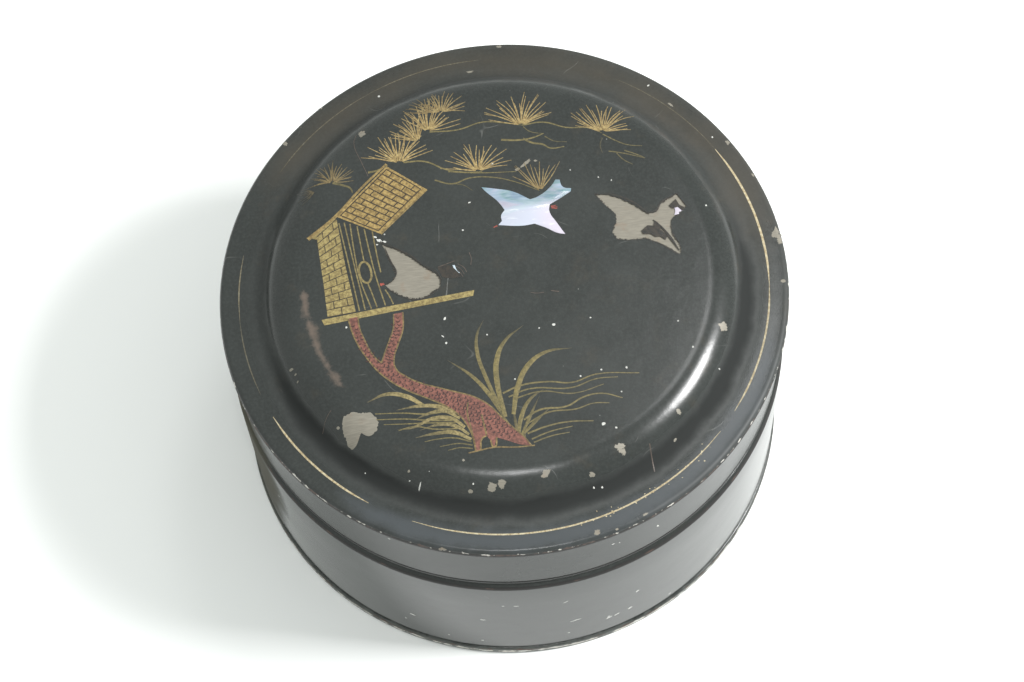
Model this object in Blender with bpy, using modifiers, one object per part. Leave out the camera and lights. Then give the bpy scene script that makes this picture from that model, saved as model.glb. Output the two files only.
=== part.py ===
"""Round lacquered tin bowl for go stones, with a domed lid that lifts off.

Metres, +Z up. The origin is the centre of the foot, on the table. The bowl's
decorated front faces -Y. Every pressed sheet is drawn as its outer surface and
thickened inwards.
"""

import math

import bmesh
import bpy

MM = 0.001

# Driving dimensions, in metres.
BOWL_RADIUS = 65.0 * MM
SHEET = 1.0 * MM
GAP = 0.3 * MM
FOOT_BULGE = 0.5 * MM
FOOT_HEIGHT = 3.0 * MM
SHOULDER_HEIGHT = 44.6 * MM
SHOULDER_BEND = 1.8 * MM
SHOULDER_LAND = 0.3 * MM
SEAM_HEIGHT = 0.4 * MM
SKIRT_INSET = 0.8 * MM
FLANGE_HEIGHT = 66.5 * MM
FLANGE_INNER_RADIUS = 58.8 * MM
HEM_BEND = 1.3 * MM
HEM_DROP = 2.3 * MM
PLATEAU_HEIGHT = 73.4 * MM
PLATEAU_RADIUS = 46.15 * MM
PLATEAU_CROWN = 0.4 * MM
DOME_SHOULDER_SHARE = 0.6
COLLAR_RISE = 10.6 * MM
COLLAR_DEPTH = 11.7 * MM
COLLAR_LIP = 0.5 * MM
COLLAR_FLARE_LOW = 3.0 * MM
COLLAR_FLARE_TOP = 5.0 * MM
LIP_THICKNESS = 0.8 * MM
LIP_RISE = 2.0 * MM
BASE_PANEL_RADIUS = 54.0 * MM
BASE_PANEL_RISE = 0.3 * MM
PEARL = 0.3 * MM
PEARL_BED = 0.2 * MM
PEARL_TOP = 73.78 * MM
LOST_PEARL_TOP = 73.5 * MM
TURN_STEPS = 72
SMOOTH_ANGLE = math.radians(35)

# Sizes that follow from the sheets lying inside one another.
SKIRT_RADIUS = BOWL_RADIUS - SKIRT_INSET
COLLAR_RADIUS = SKIRT_RADIUS - SHEET - GAP
WALL_BORE = BOWL_RADIUS - SHEET
LIP_RADIUS = WALL_BORE - GAP
LIP_BORE = LIP_RADIUS - LIP_THICKNESS
DOME_TOP = PLATEAU_HEIGHT + PLATEAU_CROWN
PEARL_FLOOR = PEARL_TOP - PEARL - PEARL_BED
LOST_PEARL_FLOOR = LOST_PEARL_TOP - PEARL - PEARL_BED

# Outlines on the lid in millimetres, x to the right and y to the back.
# Each point is sharp (a corner) or soft (the curve runs through it).
SHARP, SOFT = "VECTOR", "AUTO"
PEARL_BIRD = [
    (-3.5, 22.2, SHARP), (2.0, 21.0, SOFT), (7.5, 18.0, SHARP), (10.2, 19.5, SOFT),
    (13.6, 22.8, SHARP), (15.2, 20.6, SOFT), (17.2, 19.9, SHARP), (11.9, 16.4, SHARP),
    (13.1, 11.7, SOFT), (14.9, 8.5, SHARP), (10.7, 10.5, SOFT), (5.7, 11.4, SOFT),
    (-0.3, 12.0, SHARP), (1.4, 15.8, SHARP),
]
LOST_BIRD = [
    (22.3, 18.3, SHARP), (28.6, 16.4, SOFT), (33.9, 12.3, SHARP), (36.2, 13.6, SOFT),
    (41.0, 17.0, SHARP), (42.8, 13.2, SHARP), (38.8, 9.4, SHARP), (39.6, 5.4, SOFT),
    (40.5, 1.3, SHARP), (36.2, 4.3, SOFT), (32.0, 6.0, SOFT), (26.0, 6.6, SHARP),
    (26.9, 11.2, SHARP),
]
PERCHED_BIRD = [
    (-27.6, 10.6, SHARP), (-20.6, 5.7, SOFT), (-14.6, 0.4, SOFT), (-14.0, -2.9, SHARP),
    (-19.4, -5.4, SOFT), (-26.6, -1.4, SHARP), (-24.1, 1.2, SOFT), (-25.4, 5.6, SOFT),
]
TAIL_CHIP = [
    (40.2, 14.2, SHARP), (41.6, 12.9, SHARP), (40.7, 11.4, SHARP), (39.9, 12.6, SHARP),
]
TAIL_SLIVER = [
    (-11.2, 2.7, SHARP), (-10.5, 2.8, SHARP), (-9.5, 0.6, SHARP), (-10.4, 0.4, SHARP),
]


def clear_scene():
    for item in list(bpy.data.objects):
        bpy.data.objects.remove(item)


def make_material(name, colour, roughness, metallic=0.0, coat=0.0):
    material = bpy.data.materials.new(name)
    material.use_nodes = True
    shader = material.node_tree.nodes["Principled BSDF"]
    shader.inputs["Base Color"].default_value = (*colour, 1.0)
    shader.inputs["Roughness"].default_value = roughness
    shader.inputs["Metallic"].default_value = metallic
    shader.inputs["Coat Weight"].default_value = coat
    material.diffuse_color = (*colour, 1.0)
    return material


def make_collection(name):
    collection = bpy.data.collections.new(name)
    bpy.context.scene.collection.children.link(collection)
    return collection


def arc(centre, radius, start, end, segments):
    """Points on a circle in the profile plane, angles in degrees from +X."""
    points = []
    for step in range(segments + 1):
        angle = math.radians(start + (end - start) * step / segments)
        points.append((
            centre[0] + radius * math.cos(angle),
            centre[1] + radius * math.sin(angle),
        ))
    return points


def turned(name, profile, material, collection, closed=False):
    """A profile of (radius, height) points, outer side downwards, turned about Z."""
    mesh = bpy.data.meshes.new(name)
    body = bmesh.new()
    verts = [body.verts.new((radius, 0.0, height)) for radius, height in profile]
    for first, second in zip(verts, verts[1:]):
        body.edges.new((first, second))
    if closed:
        body.edges.new((verts[-1], verts[0]))
    body.to_mesh(mesh)
    body.free()
    mesh.materials.append(material)
    piece = bpy.data.objects.new(name, mesh)
    collection.objects.link(piece)
    screw = piece.modifiers.new("turn", "SCREW")
    screw.steps = TURN_STEPS
    screw.render_steps = TURN_STEPS
    screw.use_merge_vertices = True
    screw.merge_threshold = 0.00001
    screw.use_smooth_shade = True
    if not closed:
        shell = piece.modifiers.new("sheet", "SOLIDIFY")
        shell.thickness = SHEET
        shell.offset = -1.0
        shell.use_even_offset = True
    return piece


def apply_modifiers(piece):
    """Swap the piece's mesh for its evaluated one, so it shades smooth by angle."""
    evaluated = piece.evaluated_get(bpy.context.evaluated_depsgraph_get())
    mesh = bpy.data.meshes.new_from_object(evaluated)
    piece.modifiers.clear()
    piece.data = mesh
    mesh.shade_smooth()
    mesh.set_sharp_from_angle(angle=SMOOTH_ANGLE)


def flat_outline(name, outline, low, high, material, collection, grow=0.0):
    """An outline filled and extruded from height low to height high."""
    curve = bpy.data.curves.new(name, "CURVE")
    curve.dimensions = "2D"
    curve.fill_mode = "BOTH"
    curve.resolution_u = 4
    curve.extrude = (high - low) / 2
    curve.offset = grow
    spline = curve.splines.new("BEZIER")
    spline.bezier_points.add(len(outline) - 1)
    spline.use_cyclic_u = True
    for point, (x, y, corner) in zip(spline.bezier_points, outline):
        point.co = (x * MM, y * MM, 0.0)
        point.handle_left_type = corner
        point.handle_right_type = corner
    shape = bpy.data.objects.new(name, curve)
    shape.location.z = (low + high) / 2
    collection.objects.link(shape)
    bpy.context.view_layer.update()
    evaluated = shape.evaluated_get(bpy.context.evaluated_depsgraph_get())
    mesh = bpy.data.meshes.new_from_object(evaluated)
    place = shape.matrix_world.copy()
    bpy.data.objects.remove(shape)
    bpy.data.curves.remove(curve)
    body = bmesh.new()
    body.from_mesh(mesh)
    bmesh.ops.remove_doubles(body, verts=body.verts, dist=0.00001)
    bmesh.ops.recalc_face_normals(body, faces=body.faces)
    body.to_mesh(mesh)
    body.free()
    mesh.materials.clear()
    mesh.materials.append(material)
    piece = bpy.data.objects.new(name, mesh)
    piece.matrix_world = place
    collection.objects.link(piece)
    return piece


def cut_recess(piece, cutter):
    cutter.hide_render = True
    cutter.display_type = "WIRE"
    recess = piece.modifiers.new(cutter.name, "BOOLEAN")
    recess.operation = "DIFFERENCE"
    recess.solver = "EXACT"
    recess.object = cutter


def crown_profile():
    """Centre of the dome, over its shoulder and through the cove to the hem."""
    run = FLANGE_INNER_RADIUS - PLATEAU_RADIUS
    drop = PLATEAU_HEIGHT - FLANGE_HEIGHT
    slope = 2 * math.atan2(drop, run)
    both_radii = run / math.sin(slope)
    shoulder = both_radii * DOME_SHOULDER_SHARE
    cove = both_radii - shoulder
    steepest = math.degrees(slope)
    shoulder_centre = (PLATEAU_RADIUS, PLATEAU_HEIGHT - shoulder)
    cove_centre = (FLANGE_INNER_RADIUS, FLANGE_HEIGHT + cove)
    hem_centre = (BOWL_RADIUS - HEM_BEND, FLANGE_HEIGHT - HEM_BEND)
    crowned = [
        (PLATEAU_RADIUS * part, DOME_TOP - PLATEAU_CROWN * part**2)
        for part in (0.0, 0.5, 0.8)
    ]
    return (
        crowned
        + arc(shoulder_centre, shoulder, 90, 90 - steepest, 6)
        + arc(cove_centre, cove, 270 - steepest, 270, 5)[1:]
        + arc(hem_centre, HEM_BEND, 90, 0, 3)
        + [(BOWL_RADIUS, FLANGE_HEIGHT - HEM_DROP)]
    )


def make_lid(collection, cutters, lacquer, shell):
    lid = bpy.data.objects.new("lid", None)
    lid.location.z = SHOULDER_HEIGHT
    collection.objects.link(lid)
    bpy.context.view_layer.update()

    crown = turned("lid_crown", crown_profile(), lacquer, collection)
    above = DOME_TOP + SHEET
    recesses = [
        ("pearl_bird_recess", PEARL_BIRD, PEARL_FLOOR, GAP),
        ("lost_bird_recess", LOST_BIRD, LOST_PEARL_FLOOR, GAP),
        ("perched_bird_recess", PERCHED_BIRD, LOST_PEARL_FLOOR, 0.0),
        ("tail_sliver_recess", TAIL_SLIVER, PEARL_FLOOR, GAP),
    ]
    for name, outline, floor, grow in recesses:
        cutter = flat_outline(name, outline, floor, above, lacquer, cutters, grow)
        cut_recess(crown, cutter)

    inlays = [
        ("pearl_bird", PEARL_BIRD, PEARL_TOP),
        ("pearl_tail_chip", TAIL_CHIP, LOST_PEARL_TOP),
        ("pearl_tail_sliver", TAIL_SLIVER, PEARL_TOP),
    ]
    pieces = [crown]
    for name, outline, top in inlays:
        pieces.append(flat_outline(name, outline, top - PEARL, top, shell, collection))

    skirt = [
        (SKIRT_RADIUS, FLANGE_HEIGHT - HEM_DROP - GAP),
        (SKIRT_RADIUS, SHOULDER_HEIGHT + SEAM_HEIGHT),
    ]
    pieces.append(turned("lid_skirt", skirt, lacquer, collection))
    for piece in pieces:
        piece.parent = lid
        piece.matrix_parent_inverse = lid.matrix_world.inverted()
    return pieces


def make_wall(collection, lacquer):
    """The side, whose rounded top edge stops at a narrow land beside the collar."""
    neck = COLLAR_RADIUS + GAP
    across = neck + SHOULDER_LAND - (BOWL_RADIUS - SHOULDER_BEND)
    bend_end = math.degrees(math.acos(across / SHOULDER_BEND))
    bend_rise = SHOULDER_BEND * math.sin(math.radians(bend_end))
    bend_centre = (BOWL_RADIUS - SHOULDER_BEND, SHOULDER_HEIGHT - bend_rise)
    bottom = FOOT_HEIGHT + GAP
    profile = (
        [(neck, SHOULDER_HEIGHT)]
        + arc(bend_centre, SHOULDER_BEND, bend_end, 0, 4)
        + [
            (BOWL_RADIUS, bottom),
            (WALL_BORE, bottom),
            (WALL_BORE, bend_centre[1]),
            (neck, bend_centre[1] + WALL_BORE - neck),
        ]
    )
    return turned("body_wall", profile, lacquer, collection, closed=True)


def make_collar(collection, lacquer):
    """The inner ring that the lid slides over, soldered by its flared foot."""
    top = SHOULDER_HEIGHT + COLLAR_RISE
    foot = SHOULDER_HEIGHT - COLLAR_DEPTH
    profile = [
        (COLLAR_RADIUS - COLLAR_LIP, top),
        (COLLAR_RADIUS, top - COLLAR_LIP),
        (COLLAR_RADIUS, foot + COLLAR_FLARE_TOP),
        (LIP_RADIUS, foot + COLLAR_FLARE_LOW),
        (LIP_RADIUS, foot),
    ]
    return turned("neck_collar", profile, lacquer, collection)


def make_foot(collection, lacquer):
    """A bead round the bottom, with a lip inside the wall and a ledge for the base."""
    outer = BOWL_RADIUS + FOOT_BULGE
    top_bend = 0.6 * MM
    low_bend = 0.9 * MM
    profile = (
        [
            (LIP_BORE, FOOT_HEIGHT + LIP_RISE),
            (LIP_RADIUS, FOOT_HEIGHT + LIP_RISE),
            (LIP_RADIUS, FOOT_HEIGHT),
        ]
        + arc((outer - top_bend, FOOT_HEIGHT - top_bend), top_bend, 90, 0, 2)
        + arc((outer - low_bend, low_bend), low_bend, 0, -90, 2)
        + [
            (LIP_BORE - SHEET, 0.0),
            (LIP_BORE - SHEET, SHEET),
            (LIP_BORE, SHEET),
        ]
    )
    return turned("foot_rim", profile, lacquer, collection, closed=True)


def make_base(collection, lacquer):
    ledge = SHEET + GAP + SHEET
    profile = [
        (0.0, ledge + BASE_PANEL_RISE),
        (BASE_PANEL_RADIUS, ledge + BASE_PANEL_RISE),
        (BASE_PANEL_RADIUS + SHEET, ledge),
        (LIP_BORE - GAP, ledge),
    ]
    return turned("base_disc", profile, lacquer, collection)


def main():
    clear_scene()
    collection = make_collection("go_stone_bowl")
    cutters = make_collection("cutters")
    outside = make_material("black_lacquer", (0.010, 0.011, 0.011), 0.3, coat=0.5)
    inside = make_material("inner_lacquer", (0.014, 0.012, 0.011), 0.45)
    shell = make_material("mother_of_pearl", (0.80, 0.84, 0.88), 0.2)

    pieces = make_lid(collection, cutters, outside, shell)
    pieces.append(make_wall(collection, outside))
    pieces.append(make_foot(collection, outside))
    pieces.append(make_collar(collection, inside))
    pieces.append(make_base(collection, inside))
    bpy.context.view_layer.update()
    for piece in pieces:
        apply_modifiers(piece)


main()
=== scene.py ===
import math
import random

import bmesh
import bpy
from mathutils import Matrix, Vector, noise


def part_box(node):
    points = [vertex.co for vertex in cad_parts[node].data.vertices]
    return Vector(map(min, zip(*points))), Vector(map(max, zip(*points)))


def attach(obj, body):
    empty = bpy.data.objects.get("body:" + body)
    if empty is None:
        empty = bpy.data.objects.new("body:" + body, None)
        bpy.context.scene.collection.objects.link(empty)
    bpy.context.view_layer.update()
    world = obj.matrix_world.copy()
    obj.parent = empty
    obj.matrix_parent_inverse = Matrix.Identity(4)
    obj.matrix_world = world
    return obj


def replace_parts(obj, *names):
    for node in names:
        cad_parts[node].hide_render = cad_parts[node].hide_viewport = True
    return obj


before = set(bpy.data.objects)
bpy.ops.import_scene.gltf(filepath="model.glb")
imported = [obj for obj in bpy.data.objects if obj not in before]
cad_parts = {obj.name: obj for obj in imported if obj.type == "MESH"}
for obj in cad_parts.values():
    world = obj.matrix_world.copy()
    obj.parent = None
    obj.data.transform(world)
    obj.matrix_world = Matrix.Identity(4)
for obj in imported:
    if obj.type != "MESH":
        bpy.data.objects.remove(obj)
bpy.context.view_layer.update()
mm = 0.001

crownLow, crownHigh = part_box("lid_crown")
skirtLow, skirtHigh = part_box("lid_skirt")
wallLow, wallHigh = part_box("body_wall")
_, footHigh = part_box("foot_rim")
collarLow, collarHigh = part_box("neck_collar")
_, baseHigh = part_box("base_disc")

# the lid's shape, shared by everything painted or pressed on it
lidShape = {
    "rimRadius": crownHigh.x,
    "flangeHeight": 66.5 * mm,
    "plateauRadius": 46.15 * mm,
    "plateauHeight": 73.4 * mm,
    "plateauCrown": 0.32 * mm,
    "shoulderBend": 9.0 * mm,
    "dishRun": 6.6 * mm,
    "dishTilt": math.radians(11),
    "flatFrom": 63.6 * mm,
    "hemBend": 1.2 * mm,
    "sheet": 0.8 * mm,
}
turnSteps = 240
creaseAngle = math.radians(40)
weldGap = 1e-6


def lidArcs():
    # shoulder, cove and the flange's slight dish follow one another without a kink;
    # the steepest slope is the one that makes their drops add up
    s = lidShape
    run = s["flatFrom"] - s["plateauRadius"] - s["dishRun"]
    tilt = s["dishTilt"]
    dish = s["dishRun"] / math.sin(tilt)
    drop = s["plateauHeight"] - s["flangeHeight"] - dish * (1 - math.cos(tilt))
    low, high = math.radians(30), math.radians(75)
    for _ in range(40):
        slope = (low + high) / 2
        cove = (run - s["shoulderBend"] * math.sin(slope)) / (math.sin(slope) - math.sin(tilt))
        reached = s["shoulderBend"] * (1 - math.cos(slope)) + cove * (math.cos(tilt) - math.cos(slope))
        if reached > drop:
            high = slope
        else:
            low = slope
    return slope, cove, dish


slope, coveBend, dishBend = lidArcs()
shoulderBend = lidShape["shoulderBend"]
shoulderEnd = lidShape["plateauRadius"] + shoulderBend * math.sin(slope)
dishStart = lidShape["flatFrom"] - lidShape["dishRun"]
dishTop = lidShape["flangeHeight"] + dishBend * (1 - math.cos(lidShape["dishTilt"]))
coveCentre = (dishStart + coveBend * math.sin(lidShape["dishTilt"]),
              dishTop + coveBend * math.cos(lidShape["dishTilt"]))


def lidHeight(radius):
    s = lidShape
    if radius <= s["plateauRadius"]:
        return s["plateauHeight"] + s["plateauCrown"] * (1 - (radius / s["plateauRadius"]) ** 2)
    if radius <= shoulderEnd:
        out = radius - s["plateauRadius"]
        return s["plateauHeight"] - shoulderBend + math.sqrt(shoulderBend**2 - out**2)
    if radius <= dishStart:
        return coveCentre[1] - math.sqrt(coveBend**2 - (coveCentre[0] - radius) ** 2)
    if radius <= s["flatFrom"]:
        return s["flangeHeight"] + dishBend - math.sqrt(dishBend**2 - (s["flatFrom"] - radius) ** 2)
    hemStart = s["rimRadius"] - s["hemBend"]
    if radius <= hemStart:
        return s["flangeHeight"]
    out = min(radius - hemStart, s["hemBend"])
    return s["flangeHeight"] - s["hemBend"] + math.sqrt(s["hemBend"] ** 2 - out**2)


def arc(centre, radius, start, end, segments):
    points = []
    for step in range(segments + 1):
        angle = math.radians(start + (end - start) * step / segments)
        points.append((centre[0] + radius * math.cos(angle), centre[1] + radius * math.sin(angle)))
    return points


def addObject(name, data):
    made = bpy.data.objects.new(name, data)
    bpy.context.scene.collection.objects.link(made)
    return made


def newPiece(name, bm, materials, body):
    mesh = bpy.data.meshes.new(name)
    bm.to_mesh(mesh)
    bm.free()
    for material in materials:
        mesh.materials.append(material)
    piece = addObject(name, mesh)
    mesh.shade_smooth()
    mesh.set_sharp_from_angle(angle=creaseAngle)
    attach(piece, body)
    return piece


def sheetProfile(outer, thickness, roundStart=False, roundEnd=False):
    # the outer line from its start to its end, round the edge, and back along the inner side
    inner = []
    for index, point in enumerate(outer):
        before = Vector(outer[max(index - 1, 0)])
        after = Vector(outer[min(index + 1, len(outer) - 1)])
        here = Vector(point)
        first = (here - before).normalized() if index > 0 else (after - here).normalized()
        second = (after - here).normalized() if index < len(outer) - 1 else first
        middle = (first + second).normalized()
        normal = Vector((-middle.y, middle.x))
        stretch = thickness / max(normal.dot(Vector((-first.y, first.x))), 0.5)
        inner.append(here - normal * stretch)
    if outer[0][0] == 0.0:
        inner[0].x = 0.0
    back = [tuple(point) for point in reversed(inner)]
    line = list(outer)
    if roundEnd:
        line += roundedEdge(outer[-1], back[0], outer[-2])
    line += back
    if roundStart:
        line += roundedEdge(back[-1], outer[0], outer[1])
    return line


def roundedEdge(fromPoint, toPoint, inward):
    start, end = Vector(fromPoint), Vector(toPoint)
    middle = (start + end) / 2
    radius = (end - start).length / 2
    along = (start - middle).normalized()
    outward = Vector((-along.y, along.x))
    if outward.dot(middle - Vector(inward)) < 0:
        outward = -outward
    points = []
    for angle in (30, 60, 90, 120, 150):
        turn = math.radians(angle)
        points.append(tuple(middle + along * radius * math.cos(turn) + outward * radius * math.sin(turn)))
    return points


def turnProfile(profile, closed=True):
    bm = bmesh.new()
    verts = [bm.verts.new((radius, 0, height)) for radius, height in profile]
    edges = [bm.edges.new(pair) for pair in zip(verts, verts[1:])]
    if closed:
        edges.append(bm.edges.new((verts[-1], verts[0])))
    bmesh.ops.spin(bm, geom=verts + edges, axis=(0, 0, 1), cent=(0, 0, 0),
                   angle=2 * math.pi, steps=turnSteps, use_merge=True)
    bmesh.ops.remove_doubles(bm, verts=bm.verts, dist=weldGap)
    bmesh.ops.recalc_face_normals(bm, faces=bm.faces)
    return bm


def curveToMesh(curve):
    holder = addObject("holder", curve)
    depsgraph = bpy.context.evaluated_depsgraph_get()
    mesh = bpy.data.meshes.new_from_object(holder.evaluated_get(depsgraph))
    bpy.data.objects.remove(holder)
    bpy.data.curves.remove(curve)
    return mesh


def strokeMesh(strokes, resolution=5):
    # each stroke is its points and its width at each of them, all in millimetres
    curve = bpy.data.curves.new("strokes", "CURVE")
    curve.dimensions = "3D"
    curve.bevel_depth = 0.5 * mm
    curve.bevel_resolution = 1
    curve.use_fill_caps = True
    curve.resolution_u = resolution
    for points, widths in strokes:
        spline = curve.splines.new("BEZIER")
        spline.bezier_points.add(len(points) - 1)
        for knot, (x, y), width in zip(spline.bezier_points, points, widths):
            knot.co = (x * mm, y * mm, 0)
            knot.radius = width
            knot.handle_left_type = "AUTO"
            knot.handle_right_type = "AUTO"
    return curveToMesh(curve)


def fillMesh(outline, thickness, resolution=6, grow=0.0):
    # an outline point is x, y and "VECTOR" for a corner or "AUTO" for a smooth run
    curve = bpy.data.curves.new("fill", "CURVE")
    curve.dimensions = "2D"
    curve.fill_mode = "BOTH"
    curve.resolution_u = resolution
    curve.extrude = thickness / 2
    curve.offset = grow
    spline = curve.splines.new("BEZIER")
    spline.bezier_points.add(len(outline) - 1)
    spline.use_cyclic_u = True
    for knot, (x, y, corner) in zip(spline.bezier_points, outline):
        knot.co = (x * mm, y * mm, 0)
        knot.handle_left_type = corner
        knot.handle_right_type = corner
    return curveToMesh(curve)


def addPaint(bm, mesh, slotIndex, lift, flatten, fadeAt):
    # presses strokes or fills onto the lid, in one material slot, with a fade value at each point
    part = bmesh.new()
    part.from_mesh(mesh)
    bpy.data.meshes.remove(mesh)
    bmesh.ops.remove_doubles(part, verts=part.verts, dist=2 * weldGap)
    fade = part.verts.layers.float.new("fade")
    for face in part.faces:
        face.material_index = slotIndex
    for vert in part.verts:
        vert[fade] = fadeAt(vert.co)
        vert.co.z = lidHeight(math.hypot(vert.co.x, vert.co.y)) + lift + vert.co.z * flatten
    bmesh.ops.recalc_face_normals(part, faces=part.faces)
    addPart(bm, part)


def addPart(bm, part):
    mesh = bpy.data.meshes.new("part")
    part.to_mesh(mesh)
    part.free()
    bm.from_mesh(mesh)
    bpy.data.meshes.remove(mesh)


def steady(value):
    return lambda place: value


def newMaterial(name, roughness=0.5, metallic=0.0, coat=0.0, coatRoughness=0.1):
    material = bpy.data.materials.new(name)
    material.use_nodes = True
    shader = material.node_tree.nodes["Principled BSDF"]
    shader.inputs["Roughness"].default_value = roughness
    shader.inputs["Metallic"].default_value = metallic
    shader.inputs["Coat Weight"].default_value = coat
    shader.inputs["Coat Roughness"].default_value = coatRoughness
    return material, material.node_tree, shader


def objectSpace(tree, scale=(1, 1, 1), turn=0.0, place=(0, 0, 0)):
    source = tree.nodes.new("ShaderNodeTexCoord")
    mapping = tree.nodes.new("ShaderNodeMapping")
    mapping.inputs["Scale"].default_value = scale
    mapping.inputs["Rotation"].default_value = (0, 0, turn)
    mapping.inputs["Location"].default_value = place
    tree.links.new(source.outputs["Object"], mapping.inputs["Vector"])
    return mapping.outputs["Vector"]


def noiseValue(tree, vector, scale, detail=3.0, roughness=0.5, distortion=0.0):
    node = tree.nodes.new("ShaderNodeTexNoise")
    node.inputs["Scale"].default_value = scale
    node.inputs["Detail"].default_value = detail
    node.inputs["Roughness"].default_value = roughness
    node.inputs["Distortion"].default_value = distortion
    tree.links.new(vector, node.inputs["Vector"])
    return node.outputs["Fac"]


def feed(tree, value, socket):
    if isinstance(value, (int, float, tuple)):
        socket.default_value = value
    else:
        tree.links.new(value, socket)


def maths(tree, operation, first, second=0.0, clamp=False):
    node = tree.nodes.new("ShaderNodeMath")
    node.operation = operation
    node.use_clamp = clamp
    feed(tree, first, node.inputs[0])
    feed(tree, second, node.inputs[1])
    return node.outputs[0]


def stepBetween(tree, value, low, high, outLow=0.0, outHigh=1.0):
    node = tree.nodes.new("ShaderNodeMapRange")
    node.interpolation_type = "SMOOTHSTEP"
    feed(tree, value, node.inputs["Value"])
    feed(tree, low, node.inputs["From Min"])
    feed(tree, high, node.inputs["From Max"])
    node.inputs["To Min"].default_value = outLow
    node.inputs["To Max"].default_value = outHigh
    return node.outputs["Result"]


def mixColour(tree, factor, first, second):
    node = tree.nodes.new("ShaderNodeMix")
    node.data_type = "RGBA"
    feed(tree, factor, node.inputs["Factor"])
    feed(tree, first, node.inputs[6])
    feed(tree, second, node.inputs[7])
    return node.outputs[2]


def mixValue(tree, factor, first, second):
    node = tree.nodes.new("ShaderNodeMix")
    node.data_type = "FLOAT"
    feed(tree, factor, node.inputs["Factor"])
    feed(tree, first, node.inputs[2])
    feed(tree, second, node.inputs[3])
    return node.outputs[0]


def bump(tree, height, shader, distance):
    node = tree.nodes.new("ShaderNodeBump")
    node.inputs["Distance"].default_value = distance
    node.inputs["Strength"].default_value = 1.0
    tree.links.new(height, node.inputs["Height"])
    tree.links.new(node.outputs["Normal"], shader.inputs["Normal"])


def newGroup(name, inputs, outputs):
    group = bpy.data.node_groups.new(name, "ShaderNodeTree")
    for socketName, kind, value in inputs:
        socket = group.interface.new_socket(socketName, in_out="INPUT", socket_type=kind)
        if value is not None:
            socket.default_value = value
    for socketName, kind in outputs:
        group.interface.new_socket(socketName, in_out="OUTPUT", socket_type=kind)
    return group, group.nodes.new("NodeGroupInput"), group.nodes.new("NodeGroupOutput")


def placeGroup(tree, group, **values):
    node = tree.nodes.new("ShaderNodeGroup")
    node.node_tree = group
    for name, value in values.items():
        feed(tree, value, node.inputs[name])
    return node


def makeScratches():
    # hairlines: the thin level lines of a stretched noise, broken into stretches
    group, inside, outside = newGroup(
        "hairScratches",
        [("Vector", "NodeSocketVector", None), ("Scale", "NodeSocketFloat", 60.0),
         ("Width", "NodeSocketFloat", 0.004), ("Cover", "NodeSocketFloat", 0.5)],
        [("Mask", "NodeSocketFloat")])
    lines = group.nodes.new("ShaderNodeTexNoise")
    lines.inputs["Detail"].default_value = 1.0
    lines.inputs["Roughness"].default_value = 0.3
    group.links.new(inside.outputs["Vector"], lines.inputs["Vector"])
    group.links.new(inside.outputs["Scale"], lines.inputs["Scale"])
    offset = maths(group, "ABSOLUTE", maths(group, "SUBTRACT", lines.outputs["Fac"], 0.5))
    line = stepBetween(group, offset, inside.outputs["Width"], 0.0)
    breaks = group.nodes.new("ShaderNodeTexNoise")
    breaks.inputs["Scale"].default_value = 130.0
    breaks.inputs["Detail"].default_value = 2.0
    group.links.new(inside.outputs["Vector"], breaks.inputs["Vector"])
    edge = maths(group, "SUBTRACT", 1.0, inside.outputs["Cover"])
    broken = stepBetween(group, breaks.outputs["Fac"], edge, maths(group, "ADD", edge, 0.12))
    group.links.new(maths(group, "MULTIPLY", line, broken), outside.inputs["Mask"])
    return group


def makeSpecks():
    # round specks of dust and tiny chips, of uneven size, one in a few cells
    group, inside, outside = newGroup(
        "specks",
        [("Vector", "NodeSocketVector", None), ("Scale", "NodeSocketFloat", 300.0),
         ("Size", "NodeSocketFloat", 0.12), ("Share", "NodeSocketFloat", 0.1)],
        [("Mask", "NodeSocketFloat")])
    cells = group.nodes.new("ShaderNodeTexVoronoi")
    group.links.new(inside.outputs["Vector"], cells.inputs["Vector"])
    group.links.new(inside.outputs["Scale"], cells.inputs["Scale"])
    split = group.nodes.new("ShaderNodeSeparateColor")
    group.links.new(cells.outputs["Color"], split.inputs["Color"])
    size = maths(group, "MULTIPLY", inside.outputs["Size"], split.outputs["Green"])
    dot = stepBetween(group, cells.outputs["Distance"], size, maths(group, "MULTIPLY", size, 0.6))
    chosen = maths(group, "LESS_THAN", split.outputs["Red"], inside.outputs["Share"])
    group.links.new(maths(group, "MULTIPLY", dot, chosen), outside.inputs["Mask"])
    return group


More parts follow.
